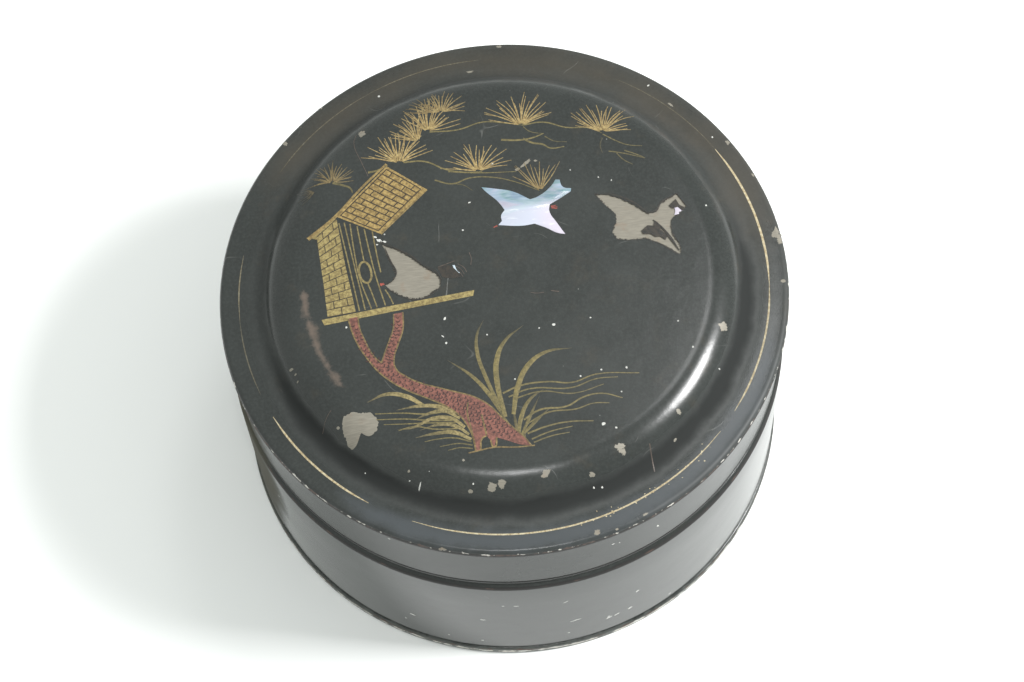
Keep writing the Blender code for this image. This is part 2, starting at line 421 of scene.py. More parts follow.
def makeRingMask():
    # a mask along part of a ring, for wear and for painted shade and reflection: nearness to the ring, within
    # a spread of one direction, cut by noise
    group, inside, outside = newGroup(
        "ringMask",
        [("Vector", "NodeSocketVector", None), ("Radius", "NodeSocketFloat", 0.065),
         ("Height", "NodeSocketFloat", 0.066), ("Band", "NodeSocketFloat", 0.001),
         ("Toward", "NodeSocketVector", (1.0, 0.0, 0.0)), ("Spread", "NodeSocketFloat", -2.0),
         ("Ease", "NodeSocketFloat", 0.03), ("Scale", "NodeSocketFloat", 400.0),
         ("Amount", "NodeSocketFloat", 0.5), ("Soft", "NodeSocketFloat", 0.1)],
        [("Mask", "NodeSocketFloat")])
    split = group.nodes.new("ShaderNodeSeparateXYZ")
    group.links.new(inside.outputs["Vector"], split.inputs["Vector"])
    flat = group.nodes.new("ShaderNodeCombineXYZ")
    group.links.new(split.outputs["X"], flat.inputs["X"])
    group.links.new(split.outputs["Y"], flat.inputs["Y"])
    length = group.nodes.new("ShaderNodeVectorMath")
    length.operation = "LENGTH"
    group.links.new(flat.outputs["Vector"], length.inputs[0])
    across = maths(group, "SUBTRACT", length.outputs["Value"], inside.outputs["Radius"])
    up = maths(group, "SUBTRACT", split.outputs["Z"], inside.outputs["Height"])
    distance = maths(group, "SQRT", maths(group, "ADD", maths(group, "MULTIPLY", across, across),
                                          maths(group, "MULTIPLY", up, up)))
    near = maths(group, "SUBTRACT", 1.0, maths(group, "DIVIDE", distance, inside.outputs["Band"]), clamp=True)
    aim = group.nodes.new("ShaderNodeVectorMath")
    aim.operation = "NORMALIZE"
    group.links.new(flat.outputs["Vector"], aim.inputs[0])
    dot = group.nodes.new("ShaderNodeVectorMath")
    dot.operation = "DOT_PRODUCT"
    group.links.new(aim.outputs["Vector"], dot.inputs[0])
    group.links.new(inside.outputs["Toward"], dot.inputs[1])
    window = stepBetween(group, dot.outputs["Value"], inside.outputs["Spread"],
                         maths(group, "ADD", inside.outputs["Spread"], inside.outputs["Ease"]))
    patches = group.nodes.new("ShaderNodeTexNoise")
    patches.inputs["Detail"].default_value = 4.0
    patches.inputs["Roughness"].default_value = 0.6
    group.links.new(inside.outputs["Vector"], patches.inputs["Vector"])
    group.links.new(inside.outputs["Scale"], patches.inputs["Scale"])
    strength = maths(group, "MULTIPLY", near, window)
    signal = maths(group, "ADD", maths(group, "MULTIPLY", strength, inside.outputs["Amount"]),
                   patches.outputs["Fac"])
    edge = maths(group, "ADD", 1.0, inside.outputs["Soft"])
    mask = stepBetween(group, signal, 1.0, edge)
    group.links.new(maths(group, "MULTIPLY", mask, stepBetween(group, strength, 0.0, 0.02)),
                    outside.inputs["Mask"])
    return group


def makeOrangePeel():
    # the lacquer's slight waviness with fine grain on top, as a height
    group, inside, outside = newGroup(
        "orangePeel",
        [("Vector", "NodeSocketVector", None), ("Wave", "NodeSocketFloat", 250.0),
         ("Grain", "NodeSocketFloat", 2500.0), ("Share", "NodeSocketFloat", 0.2)],
        [("Height", "NodeSocketFloat")])
    wave = group.nodes.new("ShaderNodeTexNoise")
    wave.inputs["Detail"].default_value = 2.0
    group.links.new(inside.outputs["Vector"], wave.inputs["Vector"])
    group.links.new(inside.outputs["Wave"], wave.inputs["Scale"])
    grain = group.nodes.new("ShaderNodeTexNoise")
    grain.inputs["Detail"].default_value = 2.0
    group.links.new(inside.outputs["Vector"], grain.inputs["Vector"])
    group.links.new(inside.outputs["Grain"], grain.inputs["Scale"])
    group.links.new(mixValue(group, inside.outputs["Share"], wave.outputs["Fac"], grain.outputs["Fac"]),
                    outside.inputs["Height"])
    return group


scratchGroup = makeScratches()
speckGroup = makeSpecks()
ringMaskGroup = makeRingMask()
peelGroup = makeOrangePeel()
print("shared effects ready")

lacquerTones = {
    "black": (0.0115, 0.0135, 0.0125, 1),
    "dusty": (0.030, 0.034, 0.032, 1),
    "brown": (0.050, 0.040, 0.027, 1),
    "haze": (0.15, 0.110, 0.085, 1),
    "undercoat": (0.060, 0.036, 0.028, 1),
    # painted shade: near-black for the shade under the lid's hem, at the wall's top below the skirt, and
    # under the hem and in the groove of the skirt
    "paintedShade": (0.007, 0.006, 0.0055, 1),
    # painted reflection: a lighter bluish tone for the light reflected on the front of the flange
    "paintedReflectionBluish": (0.043, 0.049, 0.054, 1),
    # painted shade: darker than the lacquer, for the front of the cove and along the skirt's lower edge
    "deep": (0.0070, 0.0085, 0.0080, 1),
    # painted shade: a dull olive tone for the wall's shaded left side
    "paintedShadeOlive": (0.050, 0.047, 0.032, 1),
    "grey": (0.075, 0.082, 0.075, 1),
    "metal": (0.46, 0.44, 0.40, 1),
    "speck": (0.42, 0.42, 0.40, 1),
}
# what every lacquered piece has alike: noise scales, roughness of the worn places and depths
lacquerGround = {
    "mottleScale": 1500.0,
    "reddishScale": 140.0,
    "speckSize": 0.16,
    "scratchTurn": 0.6,
    "grainScale": 3000.0,
    "grainShare": 0.15,
    "undercoatRoughness": 0.65,
    "metalRoughness": 0.45,
    "scratchDepth": 0.3,
    "chipDepth": 1.5,
}


def makeLacquer(name, look):
    tones, ground = lacquerTones, lacquerGround
    material, tree, shader = newMaterial(name)
    shader.inputs["Specular IOR Level"].default_value = look["shine"]
    place = objectSpace(tree)
    clouds = noiseValue(tree, place, look["cloudScale"], 4.0, 0.6)
    mottled = noiseValue(tree, place, ground["mottleScale"], 4.0, 0.75)
    colour = mixColour(tree, stepBetween(tree, clouds, 0.3, 0.85, 0.0, 0.45), tones["black"], tones["dusty"])
    colour = mixColour(tree, stepBetween(tree, mottled, 0.36, 0.78, 0.1, 0.8), colour, tones["dusty"])
    reddish = noiseValue(tree, objectSpace(tree, place=(0.3, 0.1, 0.2)), ground["reddishScale"], 4.0, 0.65)
    browned = stepBetween(tree, reddish, 0.55, 0.85, 0.0, look["brownShare"])
    colour = mixColour(tree, browned, colour, tones["brown"])
    roughness = stepBetween(tree, clouds, 0.3, 0.8, *look["roughness"])

    scratchSpace = objectSpace(tree, look["scratchStretch"], ground["scratchTurn"])
    scratches = placeGroup(tree, scratchGroup, Vector=scratchSpace, Scale=look["scratchScale"],
                           Width=look["scratchWidth"], Cover=look["scratchCover"]).outputs["Mask"]
    faint = maths(tree, "MULTIPLY", scratches, look["scratchStrength"])
    colour = mixColour(tree, faint, colour, tones["speck"])

    worn = None
    # each haze row lays a tone and a roughness along a ring; some rows are wear, some painted shade, one a
    # painted reflection
    for tone, strength, dull, ringPlace in look["haze"]:
        mask = placeGroup(tree, ringMaskGroup, Vector=place, **ringPlace).outputs["Mask"]
        softened = maths(tree, "MULTIPLY", mask, strength)
        if tone:
            colour = mixColour(tree, softened, colour, tones[tone])
        roughness = mixValue(tree, softened, roughness, dull)
    for ringPlace in look["undercoat"]:
        mask = placeGroup(tree, ringMaskGroup, Vector=place, **ringPlace).outputs["Mask"]
        colour = mixColour(tree, mask, colour, tones["undercoat"])
        roughness = mixValue(tree, mask, roughness, ground["undercoatRoughness"])
    for ringPlace in look["bare"]:
        mask = placeGroup(tree, ringMaskGroup, Vector=place, **ringPlace).outputs["Mask"]
        colour = mixColour(tree, mask, colour, tones["metal"])
        roughness = mixValue(tree, mask, roughness, ground["metalRoughness"])
        worn = mask if worn is None else maths(tree, "MAXIMUM", worn, mask)
    specks = placeGroup(tree, speckGroup, Vector=place, Scale=look["speckScale"],
                        Size=ground["speckSize"], Share=look["speckShare"]).outputs["Mask"]
    colour = mixColour(tree, specks, colour, tones["speck"])

    tree.links.new(colour, shader.inputs["Base Color"])
    tree.links.new(roughness, shader.inputs["Roughness"])
    peel = placeGroup(tree, peelGroup, Vector=place, Wave=look["peelWave"], Grain=ground["grainScale"],
                      Share=ground["grainShare"]).outputs["Height"]
    height = maths(tree, "SUBTRACT", peel, maths(tree, "MULTIPLY", scratches, ground["scratchDepth"]))
    if worn is not None:
        height = maths(tree, "SUBTRACT", height, maths(tree, "MULTIPLY", worn, ground["chipDepth"]))
    bump(tree, height, shader, look["peelDepth"])
    return material


def ringBand(radius, height, band, scale, amount, soft, facing=None):
    # a band along a ring, for wear and for painted shade and reflection: where it lies and how broad it is,
    # then how fine, how strong and how soft;
    # facing is its middle in degrees from +X, the cosine at which it starts and how slowly it grows
    bandInputs = {"Radius": radius, "Height": height, "Band": band, "Scale": scale, "Amount": amount, "Soft": soft}
    if facing:
        degrees, spread, ease = facing
        angle = math.radians(degrees)
        bandInputs.update({"Toward": (math.cos(angle), math.sin(angle), 0.0), "Spread": spread, "Ease": ease})
    return bandInputs


def lidBand(radius, band, scale, amount, soft, facing=None):
    return ringBand(radius, lidHeight(radius), band, scale, amount, soft, facing)


rim = lidShape["rimRadius"]
flange = lidShape["flangeHeight"]
side, shoulder = wallHigh.x, wallHigh.z

lidLook = {
    "roughness": (0.21, 0.28),
    "shine": 0.5,
    "brownShare": 0.45,
    "cloudScale": 45.0,
    "peelWave": 260.0,
    "peelDepth": 0.05 * mm,
    "scratchStretch": (1.0, 1.0, 1.0),
    "scratchScale": 55.0,
    "scratchWidth": 0.0022,
    "scratchCover": 0.42,
    "scratchStrength": 0.18,
    "speckScale": 420.0,
    "speckShare": 0.03,
    # tone, strength, roughness, where; most rows are wear, and some are painted shade and a painted
    # reflection
    "haze": [
        ("brown", 0.55, 0.45, ringBand(60 * mm, flange, 16 * mm, 60.0, 1.2, 0.9, (78, -0.55, 1.2))),
        (None, 1.0, 0.62, lidBand(56 * mm, 5.5 * mm, 90.0, 1.5, 0.9)),
        # painted reflection: the front of the flange is lightened and bluish where it reflects the room's
        # light
        ("paintedReflectionBluish", 0.9, 0.3, ringBand(62 * mm, flange, 6 * mm, 160.0, 1.5, 0.9, (-72, 0.25, 0.55))),
        # painted shade: the front of the cove is darker than the lacquer and dull
        ("deep", 1.0, 0.88, lidBand(55 * mm, 5.6 * mm, 90.0, 1.6, 0.9, (-75, -0.4, 0.8))),
        (None, 1.0, 0.85, lidBand(53.5 * mm, 5 * mm, 90.0, 1.8, 0.8, (90, 0.0, 0.5))),
        (None, 1.0, 0.55, ringBand(rim - 0.6 * mm, flange - 0.6 * mm, 1.8 * mm, 300.0, 1.9, 0.6,
                                   (20, -0.3, 0.7))),
        # painted shadow: a dark band along the hem's lower edge, over the skirt
        ("paintedShade", 1.0, 0.7, ringBand(rim, crownLow.z + 0.5 * mm, 1.6 * mm, 500.0, 2.3, 0.5)),
        ("haze", 0.55, 0.5, lidBand(45 * mm, 3.6 * mm, 320.0, 0.8, 0.4, (-162, 0.935, 0.03))),
        ("haze", 0.4, 0.5, lidBand(56.5 * mm, 3.5 * mm, 200.0, 1.0, 0.6, (15, 0.985, 0.03))),
        ("haze", 0.25, 0.5, lidBand(52 * mm, 6 * mm, 120.0, 0.7, 0.8, (50, 0.75, 0.03))),
    ],
    "undercoat": [ringBand(rim, flange - 1.0 * mm, 1.5 * mm, 330.0, 0.56, 0.12)],
    "bare": [ringBand(rim, flange - 0.8 * mm, 1.3 * mm, 560.0, 0.5, 0.04)],
}

wallLook = {
    "roughness": (0.13, 0.20),
    "shine": 0.43,
    "brownShare": 0.2,
    "cloudScale": 30.0,
    "peelWave": 180.0,
    "peelDepth": 0.04 * mm,
    "scratchStretch": (1.0, 1.0, 3.0),
    "scratchScale": 22.0,
    "scratchWidth": 0.0014,
    "scratchCover": 0.42,
    "scratchStrength": 0.25,
    "speckScale": 260.0,
    "speckShare": 0.02,
    "haze": [
        # painted shade: a dark band round the wall's top edge, below the lid's skirt
        ("paintedShade", 1.0, 0.6, ringBand(side - 0.1 * mm, shoulder - 1.0 * mm, 0.9 * mm, 420.0, 1.9, 0.4)),
        # painted shade: the wall's left side, away from the key light, is dull and olive
        ("paintedShadeOlive", 1.0, 0.85, ringBand(side, 30 * mm, 60 * mm, 60.0, 1.6, 0.8, (-170, 0.885, 0.095))),
        ("grey", 0.9, 0.6, ringBand(footHigh.x, 1.7 * mm, 3.2 * mm, 260.0, 1.3, 0.7)),
        ("haze", 0.3, 0.5, ringBand(side, 6 * mm, 6 * mm, 150.0, 0.5, 0.6)),
    ],
    "undercoat": [
        ringBand(footHigh.x, 2.4 * mm, 1.4 * mm, 300.0, 0.58, 0.12),
        ringBand(side - 0.2 * mm, shoulder - 1.0 * mm, 0.9 * mm, 300.0, 0.5, 0.12),
    ],
    "bare": [
        ringBand(footHigh.x, 1.6 * mm, 2.0 * mm, 420.0, 0.6, 0.05),
        ringBand(skirtHigh.x, skirtLow.z, 0.6 * mm, 420.0, 0.62, 0.06),
    ],
}

# the skirt is duller than the wall, with painted shade under the hem, in the groove above its lower edge and
# along that lower edge
skirtShape = {
    "grooveHeight": 1.5 * mm,
    "grooveHalf": 0.35 * mm,
    "grooveDepth": 0.15 * mm,
    "straight": 4 * mm,
    "edge": 0.35 * mm,
}
grooveLevel = skirtLow.z + skirtShape["grooveHeight"]
skirtLook = dict(wallLook)
skirtLook.update({
    "roughness": (0.20, 0.30),
    "shine": 0.22,
    "haze": wallLook["haze"] + [
        # painted shade under the hem, in the groove and along the lower edge
        ("paintedShade", 0.9, 0.6, ringBand(skirtHigh.x, skirtHigh.z, 1.2 * mm, 420.0, 1.8, 0.5)),
        ("paintedShade", 1.0, 0.7, ringBand(skirtHigh.x - 0.1 * mm, grooveLevel, 0.5 * mm, 420.0, 2.0, 0.5)),
        ("deep", 0.5, 0.5, ringBand(skirtHigh.x, skirtLow.z + 0.5 * mm, 1.1 * mm, 260.0, 1.4, 0.7)),
    ],
})

innerLook = dict(wallLook)
innerLook.update({
    "roughness": (0.34, 0.5),
    "speckShare": 0.01,
    "scratchCover": 0.5,
    "haze": [],
    "undercoat": [],
    "bare": [ringBand(collarHigh.x - 1.2 * mm, collarHigh.z, 1.0 * mm, 380.0, 0.6, 0.08)],
})


tinLook = {
    "lineScale": 420.0,
    "lineStretch": (1, 14, 1),
    "lineTurn": 0.35,
    "stainScale": 260.0,
    "darkShare": 0.74,
    "rustShares": (0.85, 0.66, 0.55),
    "roughness": (0.42, 0.62),
    "depth": 0.01 * mm,
}


def makeBareTin(name, tone, metallic):
    # bare sheet tin: dulled metal with fine rolling lines and a few rusty stains
    s = tinLook
    material, tree, shader = newMaterial(name, 0.5, metallic)
    lines = noiseValue(tree, objectSpace(tree, s["lineStretch"], s["lineTurn"]), s["lineScale"], 3.0, 0.6)
    stains = noiseValue(tree, objectSpace(tree), s["stainScale"], 3.0, 0.55)
    darker = (*(part * s["darkShare"] for part in tone[:3]), 1)
    rusty = (*(part * share for part, share in zip(tone, s["rustShares"])), 1)
    colour = mixColour(tree, stepBetween(tree, lines, 0.3, 0.75), darker, tone)
    colour = mixColour(tree, stepBetween(tree, stains, 0.58, 0.8, 0.0, 0.7), colour, rusty)
    tree.links.new(colour, shader.inputs["Base Color"])
    tree.links.new(stepBetween(tree, lines, 0.3, 0.8, *s["roughness"]), shader.inputs["Roughness"])
    bump(tree, lines, shader, s["depth"])
    return material


paintLook = {
    "poolScale": 330.0,
    "rubScale": 1100.0,
    "rubSoft": 0.10,
    "fullyWorn": 0.52,
    "wornStrength": 0.85,
    "fadeStrength": 0.95,
    "wornRoughness": 0.36,
    "depth": 0.03 * mm,
}


def makePaint(name, tone, deep, fadeFrom, grainScale=1500.0, roughness=0.45):
    # brushed paint over lacquer: grainy, and worn through to black where the fade value is high
    s = paintLook
    material, tree, shader = newMaterial(name, roughness)
    place = objectSpace(tree)
    grain = noiseValue(tree, place, grainScale, 4.0, 0.75)
    pools = noiseValue(tree, place, s["poolScale"], 2.0, 0.5)
    colour = mixColour(tree, stepBetween(tree, grain, 0.36, 0.66), deep, tone)
    colour = mixColour(tree, stepBetween(tree, pools, 0.5, 0.8, 0.0, 0.35), colour, deep)
    fade = tree.nodes.new("ShaderNodeAttribute")
    fade.attribute_name = "fade"
    rub = noiseValue(tree, place, s["rubScale"], 5.0, 0.7)
    limit = stepBetween(tree, fade.outputs["Fac"], 0.0, 1.0, fadeFrom, s["fullyWorn"])
    wornAway = stepBetween(tree, rub, maths(tree, "ADD", limit, s["rubSoft"]),
                           maths(tree, "SUBTRACT", limit, s["rubSoft"]))
    soft = maths(tree, "MULTIPLY", fade.outputs["Fac"], s["fadeStrength"])
    away = maths(tree, "MAXIMUM", maths(tree, "MULTIPLY", wornAway, s["wornStrength"]), soft)
    colour = mixColour(tree, away, colour, lacquerTones["black"])
    tree.links.new(colour, shader.inputs["Base Color"])
    tree.links.new(mixValue(tree, away, roughness, s["wornRoughness"]), shader.inputs["Roughness"])
    bump(tree, grain, shader, s["depth"])
    return material


pearlLook = {
    "milky": (0.36, 0.43, 0.48, 1),
    "violet": (0.40, 0.42, 0.50, 1),
    "rosy": (0.44, 0.405, 0.475, 1),
    "glint": (0.56, 0.58, 0.62, 1),
    "rosyFrom": (6.5 * mm, 12.5 * mm),
    "bandsFrom": (18.5 * mm, 21.5 * mm),
    "bandsWave": 6 * mm,
    "depth": 0.04 * mm,
    # where each tone sits along the swirl
    "bands": [
        (0.30, (0.075, 0.105, 0.16, 1)),
        (0.42, (0.11, 0.17, 0.24, 1)),
        (0.50, (0.11, 0.20, 0.215, 1)),
        (0.58, (0.20, 0.27, 0.35, 1)),
        (0.65, (0.30, 0.28, 0.35, 1)),
        (0.72, (0.40, 0.42, 0.44, 1)),
    ],
}


def makePearl():
    # mother-of-pearl: milky white body with blue, green and pink bands towards wings and tail
    s = pearlLook
    material, tree, shader = newMaterial("motherOfPearl", 0.22, 0.0, 0.6, 0.08)
    swirl = noiseValue(tree, objectSpace(tree, (1, 2.4, 1), -0.7), 85.0, 3.0, 0.5, 0.6)
    streaks = noiseValue(tree, objectSpace(tree, (1, 5, 1), -0.75), 260.0, 3.0, 0.6)
    split = tree.nodes.new("ShaderNodeSeparateXYZ")
    tree.links.new(objectSpace(tree), split.inputs["Vector"])
    wavy = maths(tree, "ADD", split.outputs["Y"], maths(tree, "MULTIPLY", swirl, s["bandsWave"]))
    outward = stepBetween(tree, wavy, *s["bandsFrom"])
    milky = mixColour(tree, stepBetween(tree, swirl, 0.40, 0.65), s["milky"], s["violet"])
    milky = mixColour(tree, stepBetween(tree, split.outputs["X"], *s["rosyFrom"]), milky, s["rosy"])
    milky = mixColour(tree, stepBetween(tree, streaks, 0.56, 0.70, 0.0, 0.8), milky, s["glint"])
    bands = tree.nodes.new("ShaderNodeValToRGB")
    ramp = bands.color_ramp
    for end, (position, tone) in zip(ramp.elements, (s["bands"][0], s["bands"][-1])):
        end.position = position
        end.color = tone
    for position, tone in s["bands"][1:-1]:
        ramp.elements.new(position).color = tone
    tree.links.new(swirl, bands.inputs["Fac"])
    spread = maths(tree, "MULTIPLY", outward, stepBetween(tree, streaks, 0.25, 0.7, 0.55, 1.0))
    tree.links.new(mixColour(tree, spread, milky, bands.outputs["Color"]), shader.inputs["Base Color"])
    bump(tree, swirl, shader, s["depth"])
    return material


lidLacquer = makeLacquer("lidLacquer", lidLook)
wallLacquer = makeLacquer("wallLacquer", wallLook)
skirtLacquer = makeLacquer("skirtLacquer", skirtLook)
innerLacquer = makeLacquer("innerLacquer", innerLook)
bareTin = makeBareTin("bareTin", (0.225, 0.207, 0.170, 1), 0.2)
brightTin = makeBareTin("brightTin", (0.55, 0.55, 0.52, 1), 0.1)
bedEdge = makeBareTin("bedEdge", (0.030, 0.020, 0.015, 1), 0.0)
# each paint's tone, its darker grain, and the noise level below which it is worn where it is freshest
goldPaint = makePaint("goldPaint", (0.335, 0.235, 0.082, 1), (0.13, 0.085, 0.026, 1), 0.26)
wallPaint = makePaint("wallPaint", (0.300, 0.240, 0.092, 1), (0.13, 0.095, 0.034, 1), 0.26)
needlePaint = makePaint("needlePaint", (0.40, 0.30, 0.125, 1), (0.19, 0.125, 0.045, 1), 0.22)
ochrePaint = makePaint("ochrePaint", (0.215, 0.170, 0.062, 1), (0.10, 0.082, 0.030, 1), 0.24)
strawPaint = makePaint("strawPaint", (0.31, 0.245, 0.105, 1), (0.12, 0.095, 0.036, 1), 0.24)
edgeGold = makePaint("edgeGold", (0.52, 0.46, 0.31, 1), (0.27, 0.20, 0.10, 1), 0.22)
redPaint = makePaint("redPaint", (0.225, 0.085, 0.062, 1), (0.085, 0.032, 0.024, 1), 0.24)
darkRedPaint = makePaint("darkRedPaint", (0.040, 0.012, 0.010, 1), (0.025, 0.008, 0.007, 1), 0.30)
signalRed = makePaint("signalRed", (0.30, 0.060, 0.040, 1), (0.20, 0.04, 0.03, 1), 0.24)
linePaint = makePaint("linePaint", (0.035, 0.024, 0.012, 1), (0.02, 0.014, 0.008, 1), 0.30)
glueDarkAndBedShadow = makePaint("glueDarkAndBedShadow", (0.012, 0.012, 0.011, 1), (0.03, 0.024, 0.018, 1), 0.34, 1200.0, 0.3)
scratchBrown = makePaint("scratchBrown", (0.115, 0.082, 0.064, 1), (0.07, 0.05, 0.04, 1), 0.26)
pearlMaterial = makePearl()
print("materials ready")

birdOutlines = {
    "whole": [
        (-3.5, 22.2, "VECTOR"), (-0.2, 21.5, "AUTO"), (3.6, 20.5, "AUTO"), (7.5, 18.1, "VECTOR"),
        (9.3, 18.7, "AUTO"), (12.6, 21.3, "AUTO"), (13.6, 22.8, "VECTOR"), (14.6, 22.7, "VECTOR"),
        (15.2, 20.8, "AUTO"), (17.1, 20.2, "VECTOR"), (16.9, 19.4, "VECTOR"), (14.2, 17.7, "AUTO"),
        (11.9, 16.4, "VECTOR"), (11.7, 14.7, "AUTO"), (13.3, 11.4, "AUTO"), (14.9, 8.5, "VECTOR"),
        (13.2, 8.9, "AUTO"), (10.7, 10.4, "AUTO"), (8.1, 11.7, "VECTOR"), (5.2, 11.4, "AUTO"),
        (-0.2, 12.0, "VECTOR"), (0.7, 13.0, "VECTOR"), (0.6, 14.4, "AUTO"), (1.5, 15.8, "VECTOR"),
        (0.1, 18.1, "AUTO"), (-2.6, 21.0, "AUTO"),
    ],
    "flying": [
        (22.3, 18.3, "VECTOR"), (25.0, 17.9, "AUTO"), (27.3, 17.1, "AUTO"), (30.4, 15.2, "AUTO"),
        (33.9, 12.4, "VECTOR"), (36.1, 12.9, "AUTO"), (36.9, 14.6, "AUTO"), (40.9, 17.0, "VECTOR"),
        (42.9, 13.6, "VECTOR"), (40.8, 11.6, "AUTO"), (39.4, 10.6, "AUTO"), (38.9, 9.2, "VECTOR"),
        (39.1, 6.9, "AUTO"), (40.7, 2.8, "AUTO"), (40.3, 1.3, "VECTOR"), (38.4, 2.9, "AUTO"),
        (36.2, 4.3, "AUTO"), (33.0, 6.1, "VECTOR"), (29.0, 5.9, "AUTO"), (26.3, 6.4, "VECTOR"),
        (25.6, 8.4, "AUTO"), (26.6, 10.6, "VECTOR"), (26.6, 12.6, "AUTO"), (24.7, 15.0, "AUTO"),
    ],
    "perched": [
        (-27.5, 10.3, "VECTOR"), (-26.2, 9.0, "AUTO"), (-23.7, 7.8, "AUTO"), (-20.6, 5.6, "AUTO"),
        (-17.7, 2.9, "AUTO"), (-14.9, 0.8, "AUTO"), (-14.0, -0.6, "AUTO"), (-14.2, -2.7, "VECTOR"),
        (-15.3, -3.2, "AUTO"), (-17.0, -4.6, "AUTO"), (-19.8, -5.2, "AUTO"), (-22.5, -4.3, "AUTO"),
        (-25.7, -2.2, "AUTO"), (-26.6, -1.0, "VECTOR"), (-24.8, -0.1, "AUTO"), (-24.1, 1.6, "AUTO"),
        (-25.1, 4.3, "AUTO"), (-25.9, 6.4, "AUTO"), (-26.5, 8.5, "AUTO"),
    ],
    "tailChip": [
        (39.9, 14.0, "VECTOR"), (41.3, 13.6, "AUTO"), (42.1, 12.6, "VECTOR"), (41.2, 11.7, "AUTO"),
        (39.9, 11.5, "VECTOR"), (40.2, 12.6, "AUTO"),
    ],
    "tailSliver": [
        (-11.2, 2.7, "VECTOR"), (-10.6, 2.7, "VECTOR"), (-10.1, 1.2, "AUTO"), (-9.5, 0.6, "VECTOR"),
        (-10.0, 0.35, "VECTOR"), (-10.6, 1.0, "AUTO"),
    ],
}
inlayShape = {
    "bedDepth": 0.22 * mm,
    "proud": 0.03 * mm,
    "snug": 0.03 * mm,
    "ragged": 0.17 * mm,
    "raggedScale": 1800.0,
    "roundedRim": 0.05 * mm,
    "underside": 0.01 * mm,
    "cutterHeight": 6 * mm,
}


def raggedEdges(bm, amount):
    elsewhere = Vector((31.7, 12.9, 5.1))
    for vert in bm.verts:
        place = Vector((vert.co.x, vert.co.y, 0)) * inlayShape["raggedScale"]
        vert.co.x += amount * noise.noise(place)
        vert.co.y += amount * noise.noise(place + elsewhere)


def filledOutline(*fill):
    mesh = fillMesh(*fill)
    bm = bmesh.new()
    bm.from_mesh(mesh)
    bpy.data.meshes.remove(mesh)
    bmesh.ops.remove_doubles(bm, verts=bm.verts, dist=weldGap)
    return bm


def makeBedCutter(name, outline, ragged):
    height = inlayShape["cutterHeight"]
    bm = filledOutline(outline, height, 12)
    raggedEdges(bm, ragged)
    bmesh.ops.recalc_face_normals(bm, faces=bm.faces)
    for vert in bm.verts:
        level = lidHeight(math.hypot(vert.co.x, vert.co.y))
        vert.co.z = level - inlayShape["bedDepth"] if vert.co.z < 0 else level + height
    for face in bm.faces:
        face.material_index = 1 if face.normal.z < -0.5 else 0
    mesh = bpy.data.meshes.new(name)
    bm.to_mesh(mesh)
    bm.free()
    mesh.materials.append(bedEdge)
    mesh.materials.append(bareTin)
    return addObject(name, mesh)


def makeCrown():
    s = lidShape
    radii = [s["plateauRadius"] * part / 12 for part in range(12)]
    steepest, tilt = math.degrees(slope), math.degrees(s["dishTilt"])
    hemStart = s["rimRadius"] - s["hemBend"]
    outer = (
        [(radius, lidHeight(radius)) for radius in radii]
        + arc((s["plateauRadius"], s["plateauHeight"] - shoulderBend), shoulderBend, 90, 90 - steepest, 16)
        + arc(coveCentre, coveBend, 270 - steepest, 270 - tilt, 14)[1:]
        + arc((s["flatFrom"], s["flangeHeight"] + dishBend), dishBend, 270 - tilt, 270, 8)[1:]
        + arc((hemStart, s["flangeHeight"] - s["hemBend"]), s["hemBend"], 90, 0, 6)
        + [(s["rimRadius"], crownLow.z + 0.4 * mm)]
    )
    bm = turnProfile(sheetProfile(outer, s["sheet"], roundEnd=True), closed=False)
    crown = newPiece("lidCrown", bm, [lidLacquer], "lid")
    cutters = [
        makeBedCutter("wholeBed", birdOutlines["whole"], 0.0),
        makeBedCutter("flyingBed", birdOutlines["flying"], inlayShape["ragged"]),
        makeBedCutter("perchedBed", birdOutlines["perched"], inlayShape["ragged"]),
        makeBedCutter("sliverBed", birdOutlines["tailSliver"], 0.0),
    ]
    for cutter in cutters:
        cut = crown.modifiers.new(cutter.name, "BOOLEAN")
        cut.operation = "DIFFERENCE"
        cut.solver = "EXACT"
        cut.material_mode = "TRANSFER"
        cut.object = cutter
    bpy.context.view_layer.update()
    depsgraph = bpy.context.evaluated_depsgraph_get()
    mesh = bpy.data.meshes.new_from_object(crown.evaluated_get(depsgraph))
    crown.modifiers.clear()
    old = crown.data
    crown.data = mesh
    bpy.data.meshes.remove(old)
    mesh.name = "lidCrown"
    for cutter in cutters:
        bpy.data.objects.remove(cutter)
    mesh.shade_smooth()
    mesh.set_sharp_from_angle(angle=creaseAngle)
    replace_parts(crown, "lid_crown")
    print("crown ready")


def makeInlay(name, outline, node, sink):
    s = inlayShape
    bm = filledOutline(outline, 0.2 * mm, 7, -s["snug"])
    bmesh.ops.recalc_face_normals(bm, faces=bm.faces)
    for vert in bm.verts:
        level = lidHeight(math.hypot(vert.co.x, vert.co.y))
        vert.co.z = level + s["proud"] - sink if vert.co.z > 0 else level - s["bedDepth"] + s["underside"]
    rimEdges = [edge for edge in bm.edges if edge.calc_face_angle(0.0) > 1.0
                and min(v.co.z for v in edge.verts) > lidShape["plateauHeight"] - sink]
    bmesh.ops.bevel(bm, geom=rimEdges, offset=s["roundedRim"], affect="EDGES", segments=2, profile=0.5,
                    material=-1, clamp_overlap=True)
    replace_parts(newPiece(name, bm, [pearlMaterial], "lid"), node)


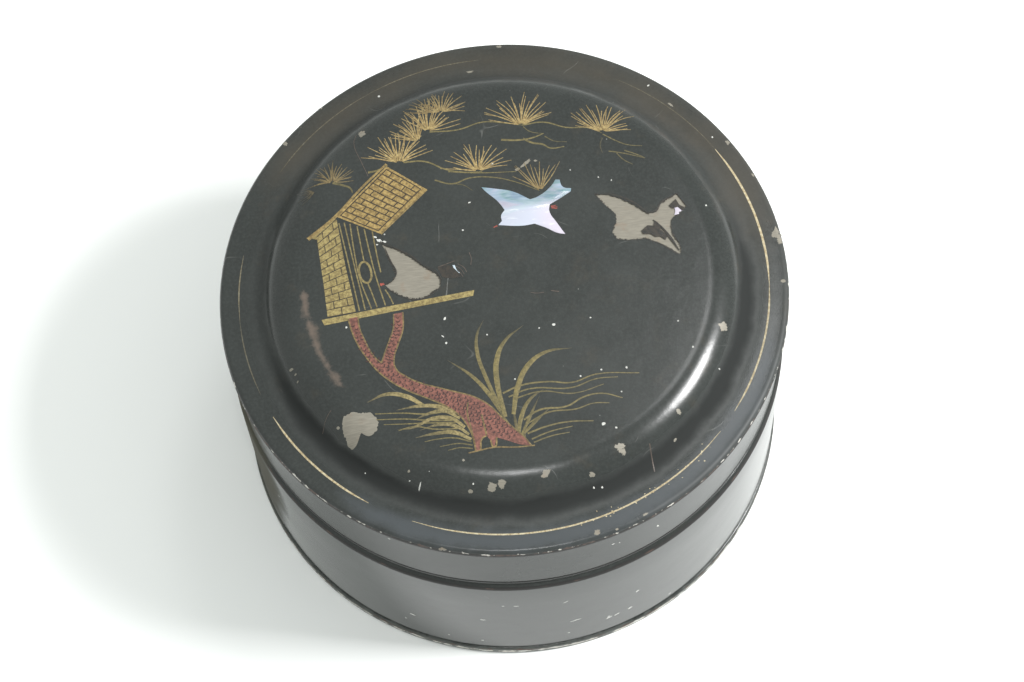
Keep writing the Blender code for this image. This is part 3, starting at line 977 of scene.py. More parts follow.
def makeSkirt():
    s = skirtShape
    wide, half = skirtHigh.x, s["grooveHalf"]
    heights = [skirtHigh.z, skirtHigh.z - s["straight"], skirtLow.z + s["straight"]]
    heights += [grooveLevel + half + 0.15 * mm, grooveLevel + half]
    lower = [grooveLevel - half, grooveLevel - half - 0.15 * mm, skirtLow.z + s["edge"]]
    outer = (
        [(wide, height) for height in heights]
        + [(wide - s["grooveDepth"], grooveLevel)]
        + [(wide, height) for height in lower]
    )
    bm = turnProfile(sheetProfile(outer, lidShape["sheet"], roundEnd=True))
    skirt = newPiece("lidSkirt", bm, [skirtLacquer], "lid")
    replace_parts(skirt, "lid_skirt")


makeCrown()
makeInlay("pearlBird", birdOutlines["whole"], "pearl_bird", 0.0)
makeInlay("pearlTailChip", birdOutlines["tailChip"], "pearl_tail_chip", 0.06 * mm)
makeInlay("pearlTailSliver", birdOutlines["tailSliver"], "pearl_tail_sliver", 0.0)
makeSkirt()
print("lid ready")

bowlShape = {
    "sheet": 0.8 * mm,
    "collarInset": 1.3 * mm,
    "collarGap": 0.3 * mm,
    "straight": 12 * mm,
    "shoulderBend": 1.8 * mm,
    "shoulderLand": 0.3 * mm,
    "collarLip": 0.5 * mm,
    "flareHeight": 3.0 * mm,
    "flareLength": 2.0 * mm,
    "footBendTop": 0.6 * mm,
    "footBendLow": 0.9 * mm,
    "footHeight": 3.0 * mm,
    "footLip": 0.8 * mm,
    "footTuck": 1.0 * mm,
    "footTrim": 0.02 * mm,
    "panelRadius": 54.0 * mm,
    "panelRise": 0.3 * mm,
    "panelBend": (0.4 * mm, 1.0 * mm),
}
collarRadius = skirtHigh.x - bowlShape["collarInset"]


def makeWall():
    # the rounded top edge stops at a narrow land beside the collar
    s = bowlShape
    neck = collarRadius + s["collarGap"]
    bendCentre = wallHigh.x - s["shoulderBend"]
    bendEnd = math.acos((neck + s["shoulderLand"] - bendCentre) / s["shoulderBend"])
    bendHeight = wallHigh.z - s["shoulderBend"] * math.sin(bendEnd)
    bore = wallHigh.x - s["sheet"]
    profile = (
        [(neck, wallHigh.z)]
        + arc((bendCentre, bendHeight), s["shoulderBend"], math.degrees(bendEnd), 0, 10)
        + [(wallHigh.x, wallHigh.z - s["straight"]), (wallHigh.x, wallLow.z + s["straight"])]
        + [(wallHigh.x, wallLow.z)]
        + [(bore, wallLow.z), (bore, bendHeight), (neck, bendHeight + bore - neck)]
    )
    wall = newPiece("bodyWall", turnProfile(profile), [wallLacquer], "bowl")
    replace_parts(wall, "body_wall")


def makeCollar():
    s = bowlShape
    outer = [
        (collarRadius - s["collarLip"], collarHigh.z),
        (collarRadius - s["collarLip"] * 0.3, collarHigh.z - s["collarLip"] * 0.3),
        (collarRadius, collarHigh.z - s["collarLip"]),
        (collarRadius, collarLow.z + s["flareHeight"] + s["flareLength"]),
        (collarHigh.x, collarLow.z + s["flareHeight"]),
        (collarHigh.x, collarLow.z),
    ]
    bm = turnProfile(sheetProfile(outer, s["sheet"], roundStart=True))
    collar = newPiece("neckCollar", bm, [innerLacquer], "bowl")
    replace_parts(collar, "neck_collar")


def makeFoot():
    s = bowlShape
    outer = footHigh.x - s["footTrim"]
    lipOuter = collarHigh.x
    lipInner = lipOuter - s["footLip"]
    tuck = s["footTuck"]
    profile = (
        [(lipInner, footHigh.z), (lipOuter, footHigh.z), (lipOuter, s["footHeight"])]
        + arc((outer - s["footBendTop"], s["footHeight"] - s["footBendTop"]), s["footBendTop"], 90, 0, 6)
        + arc((outer - s["footBendLow"], s["footBendLow"]), s["footBendLow"], 0, -90, 8)
        + [(lipInner - tuck, 0.0), (lipInner - tuck, tuck), (lipInner, tuck)]
    )
    foot = newPiece("footRim", turnProfile(profile), [wallLacquer], "bowl")
    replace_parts(foot, "foot_rim")


def makeBase():
    s = bowlShape
    top = baseHigh.z
    bendStart, bendEnd = s["panelBend"]
    outer = [
        (0.0, top),
        (s["panelRadius"], top),
        (s["panelRadius"] + bendStart, top - s["panelRise"] * 0.4),
        (s["panelRadius"] + bendEnd, top - s["panelRise"]),
        (baseHigh.x, top - s["panelRise"]),
    ]
    bm = turnProfile(sheetProfile(outer, s["sheet"]), closed=False)
    base = newPiece("baseDisc", bm, [innerLacquer], "bowl")
    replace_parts(base, "base_disc")


makeWall()
makeCollar()
makeFoot()
makeBase()
print("bowl ready")

# the painting's places and widths are in millimetres on the lid, and a fade of 1 is worn away
pineTufts = [
    # x, y, reach, from and to in degrees, needles, fade
    (-11.5, 43.0, 6.2, -4, 184, 28, 0.34),
    (-14.2, 42.8, 5.6, 70, 182, 12, 0.42),
    (-15.0, 38.2, 8.2, 6, 150, 24, 0.16),
    (-17.4, 35.8, 7.6, 70, 176, 22, 0.18),
    (-22.0, 30.4, 8.6, 12, 172, 30, 0.10),
    (-37.5, 26.4, 6.2, -6, 190, 26, 0.55),
    (-41.5, 24.5, 4.6, 150, 235, 9, 0.82),
    (-4.0, 26.6, 8.4, 2, 180, 26, 0.10),
    (6.8, 38.0, 9.0, 10, 170, 28, 0.16),
    (25.2, 34.7, 8.6, -6, 165, 30, 0.20),
    (10.0, 20.4, 8.4, 50, 150, 14, 0.36),
]
pineTwigs = [
    # points, width, fade
    ([(-21.0, 30.2), (-16.0, 30.0), (-11.5, 27.6), (-7.5, 26.5), (-3.0, 26.2)], 0.55, 0.12),
    ([(-10.8, 26.9), (-4.2, 26.0), (4.8, 25.6)], 0.45, 0.2),
    ([(-14.0, 24.9), (-10.0, 23.6), (-6.0, 24.8), (-1.0, 24.6), (4.0, 23.1), (9.8, 20.2)], 0.5, 0.3),
    ([(-10.0, 23.6), (-7.6, 23.1), (-5.5, 21.5)], 0.35, 0.55),
    ([(-14.5, 37.8), (-8.0, 37.8), (-2.0, 39.4), (2.5, 38.8), (7.0, 37.8)], 0.5, 0.2),
    ([(7.0, 37.8), (12.0, 38.2), (17.0, 36.4), (23.5, 35.5), (25.2, 34.2)], 0.5, 0.22),
    ([(7.2, 37.4), (8.6, 36.0), (11.8, 35.1)], 0.35, 0.4),
    ([(1.9, 34.3), (5.5, 33.9), (9.0, 34.2), (11.8, 35.2)], 0.7, 0.2),
    ([(7.0, 34.2), (9.0, 32.9), (11.4, 32.3), (13.0, 31.2), (16.3, 31.3)], 0.7, 0.25),
    ([(12.0, 34.4), (14.0, 33.0), (17.0, 32.5)], 0.4, 0.5),
    ([(25.4, 33.9), (28.5, 31.8), (31.0, 30.6), (34.2, 30.1)], 0.4, 0.35),
    ([(25.2, 33.0), (24.6, 31.0), (24.9, 29.0)], 0.5, 0.75),
    ([(26.4, 29.3), (30.0, 28.4), (34.6, 26.8)], 0.45, 0.4),
    ([(28.2, 28.6), (29.6, 26.8), (31.6, 25.4)], 0.4, 0.45),
    ([(30.0, 29.2), (32.6, 28.0), (34.4, 27.0)], 0.4, 0.35),
    ([(-37.5, 26.2), (-35.2, 25.4), (-33.4, 24.4), (-33.0, 23.2)], 0.8, 0.35),
    ([(-29.2, 28.2), (-27.0, 28.6), (-24.6, 29.8)], 0.7, 0.2),
]


def taper(count, width, tip=0.25):
    return [width * (1 - (1 - tip) * (index / (count - 1)) ** 1.5) for index in range(count)]


pineShape = {
    "reachScale": 1.07,
    "needleShare": 0.8,
    "shortest": 0.62,
    "strayDegrees": 5,
    "bend": 0.05,
    "needleWidths": [0.26, 0.25, 0.17],
    "tipFade": 0.42,
    "twigWidth": 0.75,
    "twigTip": 0.45,
    "twigFade": 0.12,
}


def makePines():
    s = pineShape
    bm = bmesh.new()
    rng = random.Random(11)
    for x, y, reach, low, high, needles, fade in pineTufts:
        strokes = []
        reach *= s["reachScale"]
        count = round(needles * s["needleShare"])
        for index in range(count):
            share = (index + 0.5) / count
            stray = rng.uniform(-s["strayDegrees"], s["strayDegrees"])
            angle = math.radians(low + (high - low) * share + stray)
            length = reach * rng.uniform(s["shortest"], 1.0) * (0.92 + 0.08 * abs(math.cos(angle)))
            bend = rng.uniform(-s["bend"], s["bend"])
            start = (x + 0.7 * math.cos(angle) + rng.uniform(-0.25, 0.25), y + 0.25 * math.sin(angle))
            half = length * 0.5
            points = [
                start,
                (x + half * math.cos(angle + bend), y + half * math.sin(angle + bend)),
                (x + length * math.cos(angle - bend), y + length * math.sin(angle - bend)),
            ]
            strokes.append((points, s["needleWidths"]))
        middle = Vector((x * mm, y * mm, 0))

        def fadeAt(place, middle=middle, reach=reach, fade=fade):
            far = (Vector((place.x, place.y, 0)) - middle).length / (reach * mm)
            return min(fade + s["tipFade"] * far**1.6, 1.0)

        addPaint(bm, strokeMesh(strokes, 4), 0, 0.012 * mm, 0.12, fadeAt)
    for points, width, fade in pineTwigs:
        widths = taper(len(points), width * s["twigWidth"], s["twigTip"])
        addPaint(bm, strokeMesh([(points, widths)]), 1, 0.012 * mm, 0.1, steady(fade + s["twigFade"]))
    newPiece("pinePainting", bm, [needlePaint, ochrePaint], "lid")


housePaint = {
    "roof": [(-24.9, 29.5), (-15.9, 22.6), (-27.0, 12.0), (-36.9, 17.3)],
    "eave": [(-24.9, 30.1), (-31.0, 24.2), (-37.3, 17.2), (-43.6, 12.0)],
    "wall": [(-41.6, 12.4), (-36.9, 16.7), (-35.4, 5.0), (-33.4, -7.3), (-39.8, -8.0), (-40.4, 0.0)],
    "gable": [(-43.4, 12.4), (-37.3, 17.6), (-36.6, 12.2), (-41.8, 11.8)],
    "beam": [(-41.2, -8.6), (-40.6, -10.0), (-24.0, -7.7), (-6.9, -5.4), (-6.6, -4.0), (-24.0, -6.2)],
    "eaveWidths": [0.55, 0.55, 0.75, 0.9],
    "thickness": 0.04 * mm,
    # the roof's tiles: rows, the stretch they cover across it, its margin, and where the joints are
    "rows": 10,
    "tiled": (0.05, 0.9),
    "margin": 0.04,
    "tileJoints": [(0.17, 0.5, 0.83), (0.33, 0.67)],
    "wobble": 0.07,
    "bricks": 12,
    "brickJoints": [(0.52,), (0.28, 0.78)],
    "slats": [
        [(-36.4, 15.6), (-34.6, 5.0), (-32.6, -7.1)],
        [(-35.2, 15.6), (-33.4, 5.0), (-31.3, -6.9)],
        [(-33.9, 15.2), (-33.2, 8.0), (-32.3, 1.5), (-29.9, -6.7)],
        [(-32.3, 14.4), (-31.5, 8.4), (-31.1, 5.4)],
        [(-30.4, -0.4), (-29.4, -3.6), (-28.6, -6.5)],
        [(-30.7, 13.6), (-29.7, 7.4), (-28.6, 1.5), (-26.7, -6.2)],
        [(-28.9, 12.8), (-28.0, 6.0), (-27.4, 2.2)],
        [(-26.6, -2.2), (-25.6, -4.2), (-24.9, -6.0)],
    ],
    "ring": {"x": -30.9, "y": 2.5, "wide": 1.35, "tall": 2.7, "lean": 8, "steps": 8},
}


def corners(points):
    return [(x, y, "VECTOR") for x, y in points]


def between(first, second, share):
    return (first[0] + (second[0] - first[0]) * share, first[1] + (second[1] - first[1]) * share)


def makeRoofLines(s, rng):
    top, right, bottom, left = s["roof"]
    low, high = s["tiled"]
    covered = 1 - 2 * s["margin"]

    def onRoof(across, down):
        return between(between(top, right, across), between(left, bottom, across), down)

    lines = [[onRoof(edge, down) for down in (s["margin"], 0.5, 1 - s["margin"])] for edge in (low, high)]
    for row in range(s["rows"] + 1):
        down = s["margin"] + covered * row / s["rows"]
        lines.append([onRoof(across, down) for across in (low, 0.5, high)])
        if row < s["rows"]:
            nextDown = down + covered / s["rows"]
            for joint in s["tileJoints"][row % 2]:
                across = low + (high - low) * joint
                lines.append([onRoof(across, level) for level in (down, (down + nextDown) / 2, nextDown)])
    wide = s["wobble"]
    return [[(x + rng.uniform(-wide, wide), y + rng.uniform(-wide, wide)) for x, y in line] for line in lines]


def makeBrickLines(s):
    topLeft, topRight, _, bottomRight, bottomLeft, _ = s["wall"]
    bricks = []
    for row in range(s["bricks"] + 1):
        share = row / s["bricks"]
        leftEnd = between(bottomLeft, topLeft, share)
        rightEnd = between(bottomRight, topRight, share)
        bricks.append([leftEnd, between(leftEnd, rightEnd, 0.5), rightEnd])
        if row < s["bricks"]:
            above = (row + 1) / s["bricks"]
            nextLeft = between(bottomLeft, topLeft, above)
            nextRight = between(bottomRight, topRight, above)
            for joint in s["brickJoints"][row % 2]:
                bricks.append([between(leftEnd, rightEnd, joint), between(nextLeft, nextRight, joint)])
    return bricks


def ringPoints(x, y, wide, tall, lean, steps):
    points = []
    turn = math.radians(lean)
    for step in range(steps + 1):
        angle = 2 * math.pi * step / steps
        across, along = wide * math.cos(angle), tall * math.sin(angle)
        points.append((x + across * math.cos(turn) - along * math.sin(turn),
                       y + across * math.sin(turn) + along * math.cos(turn)))
    return points


def makeHouse():
    s = housePaint
    bm = bmesh.new()
    gold, dark, pale = range(3)

    def addLines(lines, width, slotIndex, lift, flatten, fade, resolution=5):
        strokes = [(line, [width] * len(line)) for line in lines]
        addPaint(bm, strokeMesh(strokes, resolution), slotIndex, lift * mm, flatten, steady(fade))

    fills = (("wall", pale, 0.0), ("gable", pale, 0.006), ("roof", gold, 0.012), ("beam", pale, 0.012))
    for part, slotIndex, lift in fills:
        filled = fillMesh(corners(s[part]), s["thickness"], 1)
        addPaint(bm, filled, slotIndex, lift * mm, 1.0, steady(0.06))
    addPaint(bm, strokeMesh([(s["eave"], s["eaveWidths"])]), gold, 0.02 * mm, 0.05, steady(0.26))
    addPaint(bm, strokeMesh([(s["roof"][1:3], [0.4, 0.6])]), gold, 0.02 * mm, 0.05, steady(0.36))
    addLines(makeRoofLines(s, random.Random(5)), 0.26, dark, 0.036, 0.08, 0.12)
    addLines(makeBrickLines(s), 0.2, dark, 0.030, 0.08, 0.2, 2)
    addLines(s["slats"], 0.3, pale, 0.012, 0.06, 0.36)
    addLines([ringPoints(**s["ring"])], 0.5, pale, 0.016, 0.06, 0.3)
    newPiece("housePainting", bm, [goldPaint, linePaint, wallPaint], "lid")


trunkPaint = {
    "leftEdge": [(-35.2, -8.8), (-34.5, -12), (-33.0, -16), (-31.0, -19.5), (-29.2, -22.1), (-26.5, -24.8),
                 (-23, -27.3), (-18, -29.9), (-14, -32.2), (-11.5, -34.5), (-10, -37), (-8.9, -40)],
    "roots": [(-8.6, -43.0), (-7.5, -42.8), (-7.0, -40.2), (-6.0, -39.6), (-5.2, -40.8), (-4.5, -42.4),
              (-3.8, -40.2), (-1.8, -41.0), (1.0, -42.2), (3.7, -42.8)],
    "rightEdge": [(2.4, -40.8), (0, -38.2), (-2.5, -35.4), (-5, -32.4), (-8.5, -30.0), (-12, -28.7),
                  (-16, -27.3), (-20, -25.8), (-23, -24), (-25.1, -22), (-25.4, -19.5), (-24.3, -16),
                  (-23.1, -12.5), (-22.9, -8.2)],
    "fork": [(-25.0, -8.5), (-25.2, -12), (-26.5, -15.6), (-27.7, -18.8), (-28.2, -20.3), (-29.8, -18.6),
             (-31.7, -14.5), (-32.8, -11), (-33.0, -8.5)],
    "scaleLines": [
        # the middle line of each limb with its half width
        ([(-34.0, -10), (-32.4, -15.5), (-29.8, -20), (-26.5, -23.4), (-22.5, -26), (-18, -28),
          (-14.5, -29.8), (-11, -32), (-7.5, -34.5), (-4, -37.2), (0.5, -40)],
         [0.7, 0.8, 0.9, 1.0, 1.1, 1.2, 1.5, 2.1, 2.6, 1.9, 0.7]),
        ([(-24.0, -9), (-24.4, -13), (-25.9, -17), (-26.8, -20.5)], [0.7, 0.8, 0.8, 0.8]),
    ],
    "ground": [(-10.2, -43.4), (-8.4, -43.1), (-4.5, -42.5), (0.0, -42.8), (4.4, -42.7)],
    "folds": [[(-9.6, -31.4), (-9.9, -34.0), (-9.3, -37.5), (-8.7, -41.5)],
              [(-6.8, -34.5), (-6.3, -37.5), (-6.0, -39.4)]],
    "scaleStep": 0.78,
    "scaleSizes": (0.28, 0.66),
    "scaleWidths": [0.16, 0.3, 0.16],
    # a limb this narrow takes one, two or three scales side by side, and a broader one takes four
    "laneLimits": (0.75, 1.3, 2.0),
}


def alongLine(points, share):
    place = share * (len(points) - 1)
    index = min(int(place), len(points) - 2)
    return between(points[index], points[index + 1], place - index), index, place - index


def makeTrunk():
    s = trunkPaint
    bm = bmesh.new()
    red, gold, dark = range(3)
    outline = [(x, y, "AUTO") for x, y in s["leftEdge"]]
    outline += corners(s["roots"])
    outline += [(x, y, "AUTO") for x, y in s["rightEdge"]]
    trunkEnd = len(outline)
    outline += [(x, y, "AUTO") for x, y in s["fork"]]
    for index in (0, trunkEnd - 1, trunkEnd, len(outline) - 1):
        outline[index] = (*outline[index][:2], "VECTOR")
    addPaint(bm, fillMesh(outline, 0.05 * mm, 4), red, 0.008 * mm, 1.0, steady(0.1))
    edges = [
        (s["leftEdge"] + s["roots"][:1], 0.36, 0.5),
        (list(reversed(s["rightEdge"])) + s["roots"][-1:], 0.34, 0.5),
        (s["fork"][:5], 0.32, 0.55),
        (s["fork"][4:], 0.32, 0.55),
        (s["roots"][1:4], 0.35, 0.35),
        (s["roots"][4:7], 0.35, 0.35),
        (s["ground"], 0.32, 0.5),
        (s["folds"][0], 0.36, 0.55),
        (s["folds"][1], 0.4, 0.5),
    ]
    for points, width, fade in edges:
        addPaint(bm, strokeMesh([(points, [width] * len(points))]), gold, 0.03 * mm, 0.08, steady(fade))
    addPaint(bm, strokeMesh(barkScales(s, random.Random(3)), 3), dark, 0.034 * mm, 0.08, steady(0.08))
    newPiece("trunkPainting", bm, [redPaint, goldPaint, darkRedPaint], "lid")


def barkScales(s, rng):
    # small bent strokes in staggered rows across each limb
    marks = []
    for points, halfWidths in s["scaleLines"]:
        length = sum((Vector(b) - Vector(a)).length for a, b in zip(points, points[1:]))
        rows = int(length / s["scaleStep"])
        for row in range(rows):
            (x, y), index, part = alongLine(points, (row + 0.5) / rows)
            ahead = (Vector(points[index + 1]) - Vector(points[index])).normalized()
            aside = Vector((-ahead.y, ahead.x))
            half = halfWidths[index] * (1 - part) + halfWidths[index + 1] * part
            lanes = 1 + sum(half >= limit for limit in s["laneLimits"])
            for lane in range(lanes):
                across = (lane - (lanes - 1) / 2) * half * 1.5 / max(lanes - 1, 1)
                across += (0.25 if row % 2 else -0.25) + rng.uniform(-0.25, 0.25)
                size = rng.uniform(*s["scaleSizes"])
                middle = Vector((x, y)) + aside * across
                bent = [middle + aside * size * 0.8, middle + ahead * size * 0.7, middle - aside * size * 0.8]
                marks.append(([tuple(point) for point in bent], s["scaleWidths"]))
    return marks


grassBlades = [
    # points, widest width, fade
    ([(-2.6, -34.0), (-5.0, -29.5), (-8.5, -25.0), (-13.6, -20.8)], 1.0, 0.22),
    ([(-2.6, -33.0), (-5.2, -26.0), (-6.9, -19.0), (-6.6, -15.0), (-5.0, -11.6)], 0.9, 0.3),
    ([(-1.6, -35.5), (-2.9, -27.0), (-2.6, -21.5), (-0.6, -17.2), (3.8, -13.6)], 1.25, 0.22),
    ([(0.2, -35.0), (1.6, -28.5), (4.2, -23.5), (8.2, -20.6), (14.2, -20.0)], 1.25, 0.2),
    ([(0.2, -39.5), (-1.6, -36.5), (-3.4, -32.0)], 0.9, 0.25),
    ([(1.0, -40.0), (1.8, -36.0), (4.0, -31.8), (7.4, -29.4)], 1.0, 0.2),
    ([(1.6, -40.3), (3.6, -36.2), (6.2, -31.0)], 0.8, 0.25),
    ([(1.6, -40.3), (4.6, -37.4), (8.8, -33.6)], 0.8, 0.25),
    ([(0.8, -39.6), (0.5, -36.5), (0.2, -33.6)], 0.7, 0.3),
    ([(2.2, -40.8), (2.6, -38.2), (3.4, -35.8)], 0.7, 0.25),
    ([(-19.5, -31.3), (-23.0, -28.9), (-27.5, -28.0), (-31.8, -29.6)], 1.1, 0.15),
    ([(-12.4, -33.6), (-16.0, -31.9), (-20.5, -31.4), (-25.5, -32.0)], 1.0, 0.18),
    ([(-11.6, -35.0), (-15.0, -33.0), (-18.5, -33.4), (-21.5, -34.6)], 0.9, 0.18),
    ([(-10.6, -37.2), (-13.5, -34.9), (-17.5, -34.6), (-22.0, -36.4), (-25.4, -36.6)], 0.9, 0.18),
    ([(-9.8, -39.0), (-12.6, -36.8), (-16.5, -36.2), (-20.5, -37.2)], 0.8, 0.2),
    ([(-9.4, -40.2), (-13.0, -38.3), (-17.0, -38.2), (-21.6, -38.9)], 1.0, 0.18),
]
grassLines = [
    ([(-1.8, -29.8), (2.0, -28.3), (8.5, -27.8), (13.5, -28.4), (19.0, -26.8), (28.6, -27.2)], 0.42, 0.3),
    ([(-0.6, -30.8), (4.0, -29.2), (13.5, -29.6), (19.0, -27.9), (23.8, -27.8)], 0.36, 0.35),
    ([(0.4, -31.4), (6.5, -30.0), (13.8, -31.0), (20.6, -29.3)], 0.34, 0.42),
    ([(2.4, -36.5), (6.0, -34.4), (12.0, -34.0), (16.0, -32.0), (20.0, -31.5), (24.4, -32.9)], 0.45, 0.25),
    ([(3.2, -37.4), (8.0, -35.1), (14.0, -34.8), (18.0, -33.7), (21.4, -33.9)], 0.36, 0.35),
    ([(3.0, -39.8), (7.0, -38.5), (12.0, -37.7), (17.6, -37.9)], 0.42, 0.28),
    ([(3.8, -41.2), (8.0, -39.7), (13.0, -38.8)], 0.36, 0.35),
    ([(4.2, -42.0), (8.0, -40.8), (12.2, -40.2)], 0.34, 0.4),
    ([(-13.6, -33.0), (-19.0, -33.4), (-24.0, -32.8), (-30.2, -32.5)], 0.4, 0.3),
    ([(-13.0, -35.4), (-19.0, -34.9), (-23.0, -34.3), (-30.0, -33.9)], 0.4, 0.28),
    ([(-12.6, -36.0), (-18.5, -35.6), (-24.0, -35.4), (-28.4, -35.2)], 0.36, 0.32),
    ([(-12.0, -37.4), (-17.0, -37.2), (-22.0, -36.2), (-25.2, -36.9)], 0.36, 0.3),
    ([(-9.4, -40.8), (-13.0, -39.6), (-17.0, -39.6), (-19.6, -40.0)], 0.34, 0.4),
    ([(-9.2, -41.6), (-12.0, -41.0), (-16.4, -41.4)], 0.34, 0.5),
    ([(-9.2, -42.4), (-12.0, -42.0), (-14.6, -42.4)], 0.32, 0.5),
]


grassShape = {
    "tipWidth": 0.08,
    "tipFade": 0.6,
    "tipReach": 8 * mm,
    "strawLeftOf": -15 * mm,
    "lineTip": 0.5,
}


def makeGrass():
    s = grassShape
    bm = bmesh.new()
    ochre, straw = range(2)
    for points, width, fade in grassBlades:
        # a blade is broadest a third of the way along
        last = len(points) - 1
        widths = [width * math.sin(math.pi * (0.25 + 0.72 * index / last)) for index in range(last)]
        widths.append(s["tipWidth"])
        tip = Vector((points[-1][0] * mm, points[-1][1] * mm, 0))

        def fadeAt(place, tip=tip, fade=fade):
            near = (Vector((place.x, place.y, 0)) - tip).length
            return min(fade + s["tipFade"] * max(0.0, 1 - near / s["tipReach"]), 1.0)

        slotIndex = straw if tip.x < s["strawLeftOf"] else ochre
        addPaint(bm, strokeMesh([(points, widths)], 7), slotIndex, 0.010 * mm, 0.06, fadeAt)
    for points, width, fade in grassLines:
        widths = taper(len(points), width, s["lineTip"])
        addPaint(bm, strokeMesh([(points, widths)], 6), ochre, 0.014 * mm, 0.1, steady(fade))
    newPiece("grassPainting", bm, [ochrePaint, strawPaint], "lid")


flangeLine = {
    "radius": 60.45,
    "width": 0.48,
    "knotEvery": 5,
    "endWidth": 0.25,
    # start, end in degrees from +X, width share, fade
    "stretches": [
        (-152, -123, 0.9, 0.14), (-113, -41, 0.75, 0.18), (-35.5, -4, 0.85, 0.3), (-4, 31.5, 1.1, 0.14),
        (92, 118, 0.5, 0.84), (118, 146, 0.5, 0.86), (168, 184, 0.6, 0.72), (-176, -158, 0.5, 0.86),
        (31.5, 60, 0.4, 0.88),
    ],
}


def makeFlangeLine():
    s = flangeLine
    bm = bmesh.new()
    for start, end, share, fade in s["stretches"]:
        count = max(4, round(abs(end - start) / s["knotEvery"]) + 1)
        points, widths = [], []
        for index in range(count):
            part = index / (count - 1)
            angle = math.radians(start + (end - start) * part)
            points.append((s["radius"] * math.cos(angle), s["radius"] * math.sin(angle)))
            grown = min(1.0, 6 * min(part, 1 - part))
            widths.append(s["width"] * share * (s["endWidth"] + (1 - s["endWidth"]) * grown))
        addPaint(bm, strokeMesh([(points, widths)], 4), 0, 0.008 * mm, 0.06, steady(fade))
    newPiece("flangeLine", bm, [edgeGold], "lid")


redTouches = [
    # small red touches beside the birds: points and width
    ([(12.2, 15.7), (13.6, 15.6)], 0.3),
    ([(12.2, 15.5), (13.5, 15.2)], 0.3),
    ([(12.1, 15.9), (13.3, 16.1)], 0.3),
    ([(-0.4, 11.9), (-1.3, 11.5)], 0.4),
    ([(-27.7, -0.8), (-26.7, -0.9)], 0.6),
    ([(-27.5, -1.2), (-26.9, -0.5)], 0.35),
]


def makeRedTouches():
    bm = bmesh.new()
    strokes = [(points, [width, width * 0.5]) for points, width in redTouches]
    addPaint(bm, strokeMesh(strokes, 3), 0, 0.02 * mm, 0.1, steady(0.1))
    newPiece("redTouches", bm, [signalRed], "lid")


residueAndBedShadows = {
    # dark lacquer and glue left on the beds and beside them; the dark lines along the beds' edges are partly
    # glue and partly painted shadow of the bed walls
    "fills": [
        [(-14.6, 2.4), (-12.6, 2.9), (-11.3, 2.4), (-9.6, 0.4), (-9.4, -0.5), (-11.6, -0.7), (-13.6, -0.2)],
        [(32.1, 8.0), (33.6, 9.3), (34.9, 9.1), (35.4, 10.4), (36.0, 9.9), (36.5, 8.0), (37.8, 6.2),
         (37.4, 5.3), (36.2, 6.3), (35.2, 6.2), (34.1, 7.1), (32.4, 7.2)],
        [(38.9, 14.0), (40.6, 15.6), (41.3, 14.0), (42.6, 13.2), (41.7, 12.6), (40.9, 13.5), (39.6, 13.2)],
    ],
    # points and width of dark lines along the beds' edges, partly glue and partly painted shadow
    "lines": [
        ([(35.0, 10.6), (36.6, 8.8), (38.6, 5.6), (40.2, 2.4)], 0.45),
        ([(24.6, 18.4), (27.6, 17.4), (31.0, 15.4), (33.9, 12.7)], 0.35),
        ([(34.0, 12.6), (36.0, 13.2), (37.2, 15.0), (39.0, 16.2)], 0.3),
        ([(33.2, 5.8), (36.4, 4.2), (39.6, 1.6)], 0.3),
        ([(26.2, 6.3), (29.2, 5.8), (33.2, 5.9)], 0.22),
        ([(-27.2, 10.2), (-23.9, 8.1), (-20.6, 6.0), (-17.6, 3.2), (-14.8, 1.2), (-13.8, -0.8)], 0.28),
        ([(-14.1, -2.6), (-16.9, -4.7), (-19.8, -5.4), (-22.6, -4.5), (-26.3, -2.0)], 0.35),
        ([(-24.6, 0.1), (-23.9, 1.8), (-25.0, 4.6), (-26.2, 8.3)], 0.3),
    ],
    "scratches": [
        ([(-14.4, 2.5), (-12.4, 3.1), (-10.6, 3.7)], 0.14),
        ([(-9.9, 2.9), (-8.6, 1.9), (-8.0, 0.6)], 0.12),
        ([(-11.0, 2.2), (-9.6, 0.8), (-8.9, -0.5)], 0.12),
        ([(-10.7, 2.6), (-9.4, 1.6), (-8.6, 0.2)], 0.1),
        ([(29.5, -43.2), (29.9, -46.0), (30.2, -48.4)], 0.22),
        ([(-31.6, 38.9), (-32.2, 36.4), (-30.6, 31.0), (-29.2, 27.2)], 0.12),
        ([(6.0, -5.6), (7.4, -5.9), (9.0, -5.8)], 0.14),
        ([(10.6, -5.5), (12.4, -5.9)], 0.2),
        ([(-7.2, 5.6), (-6.8, 4.0), (-7.0, 2.4)], 0.14),
        ([(-42.3, -34.2), (-41.2, -31.9), (-39.9, -30.4)], 0.12),
    ],
}


def makeResidueAndBedShadows():
    s = residueAndBedShadows
    bm = bmesh.new()
    for outline in s["fills"]:
        addPaint(bm, fillMesh(corners(outline), 0.02 * mm, 1), 0, 0.022 * mm, 1.0, steady(0.0))
    # lines along the beds' edges: partly glue, partly painted shadow
    for points, width in s["lines"]:
        rough = [(points, [width * (0.5 + 0.9 * ((index * 7) % 3) / 2) for index in range(len(points))])]
        addPaint(bm, strokeMesh(rough), 0, 0.018 * mm, 0.06, steady(0.25))
    for points, width in s["scratches"]:
        addPaint(bm, strokeMesh([(points, [width] * len(points))]), 1, 0.02 * mm, 0.08, steady(0.3))
    newPiece("residueAndBedShadows", bm, [glueDarkAndBedShadow, scratchBrown], "lid")


makePines()
makeHouse()
makeTrunk()
makeGrass()
makeFlangeLine()
makeRedTouches()
makeResidueAndBedShadows()
print("painting ready")


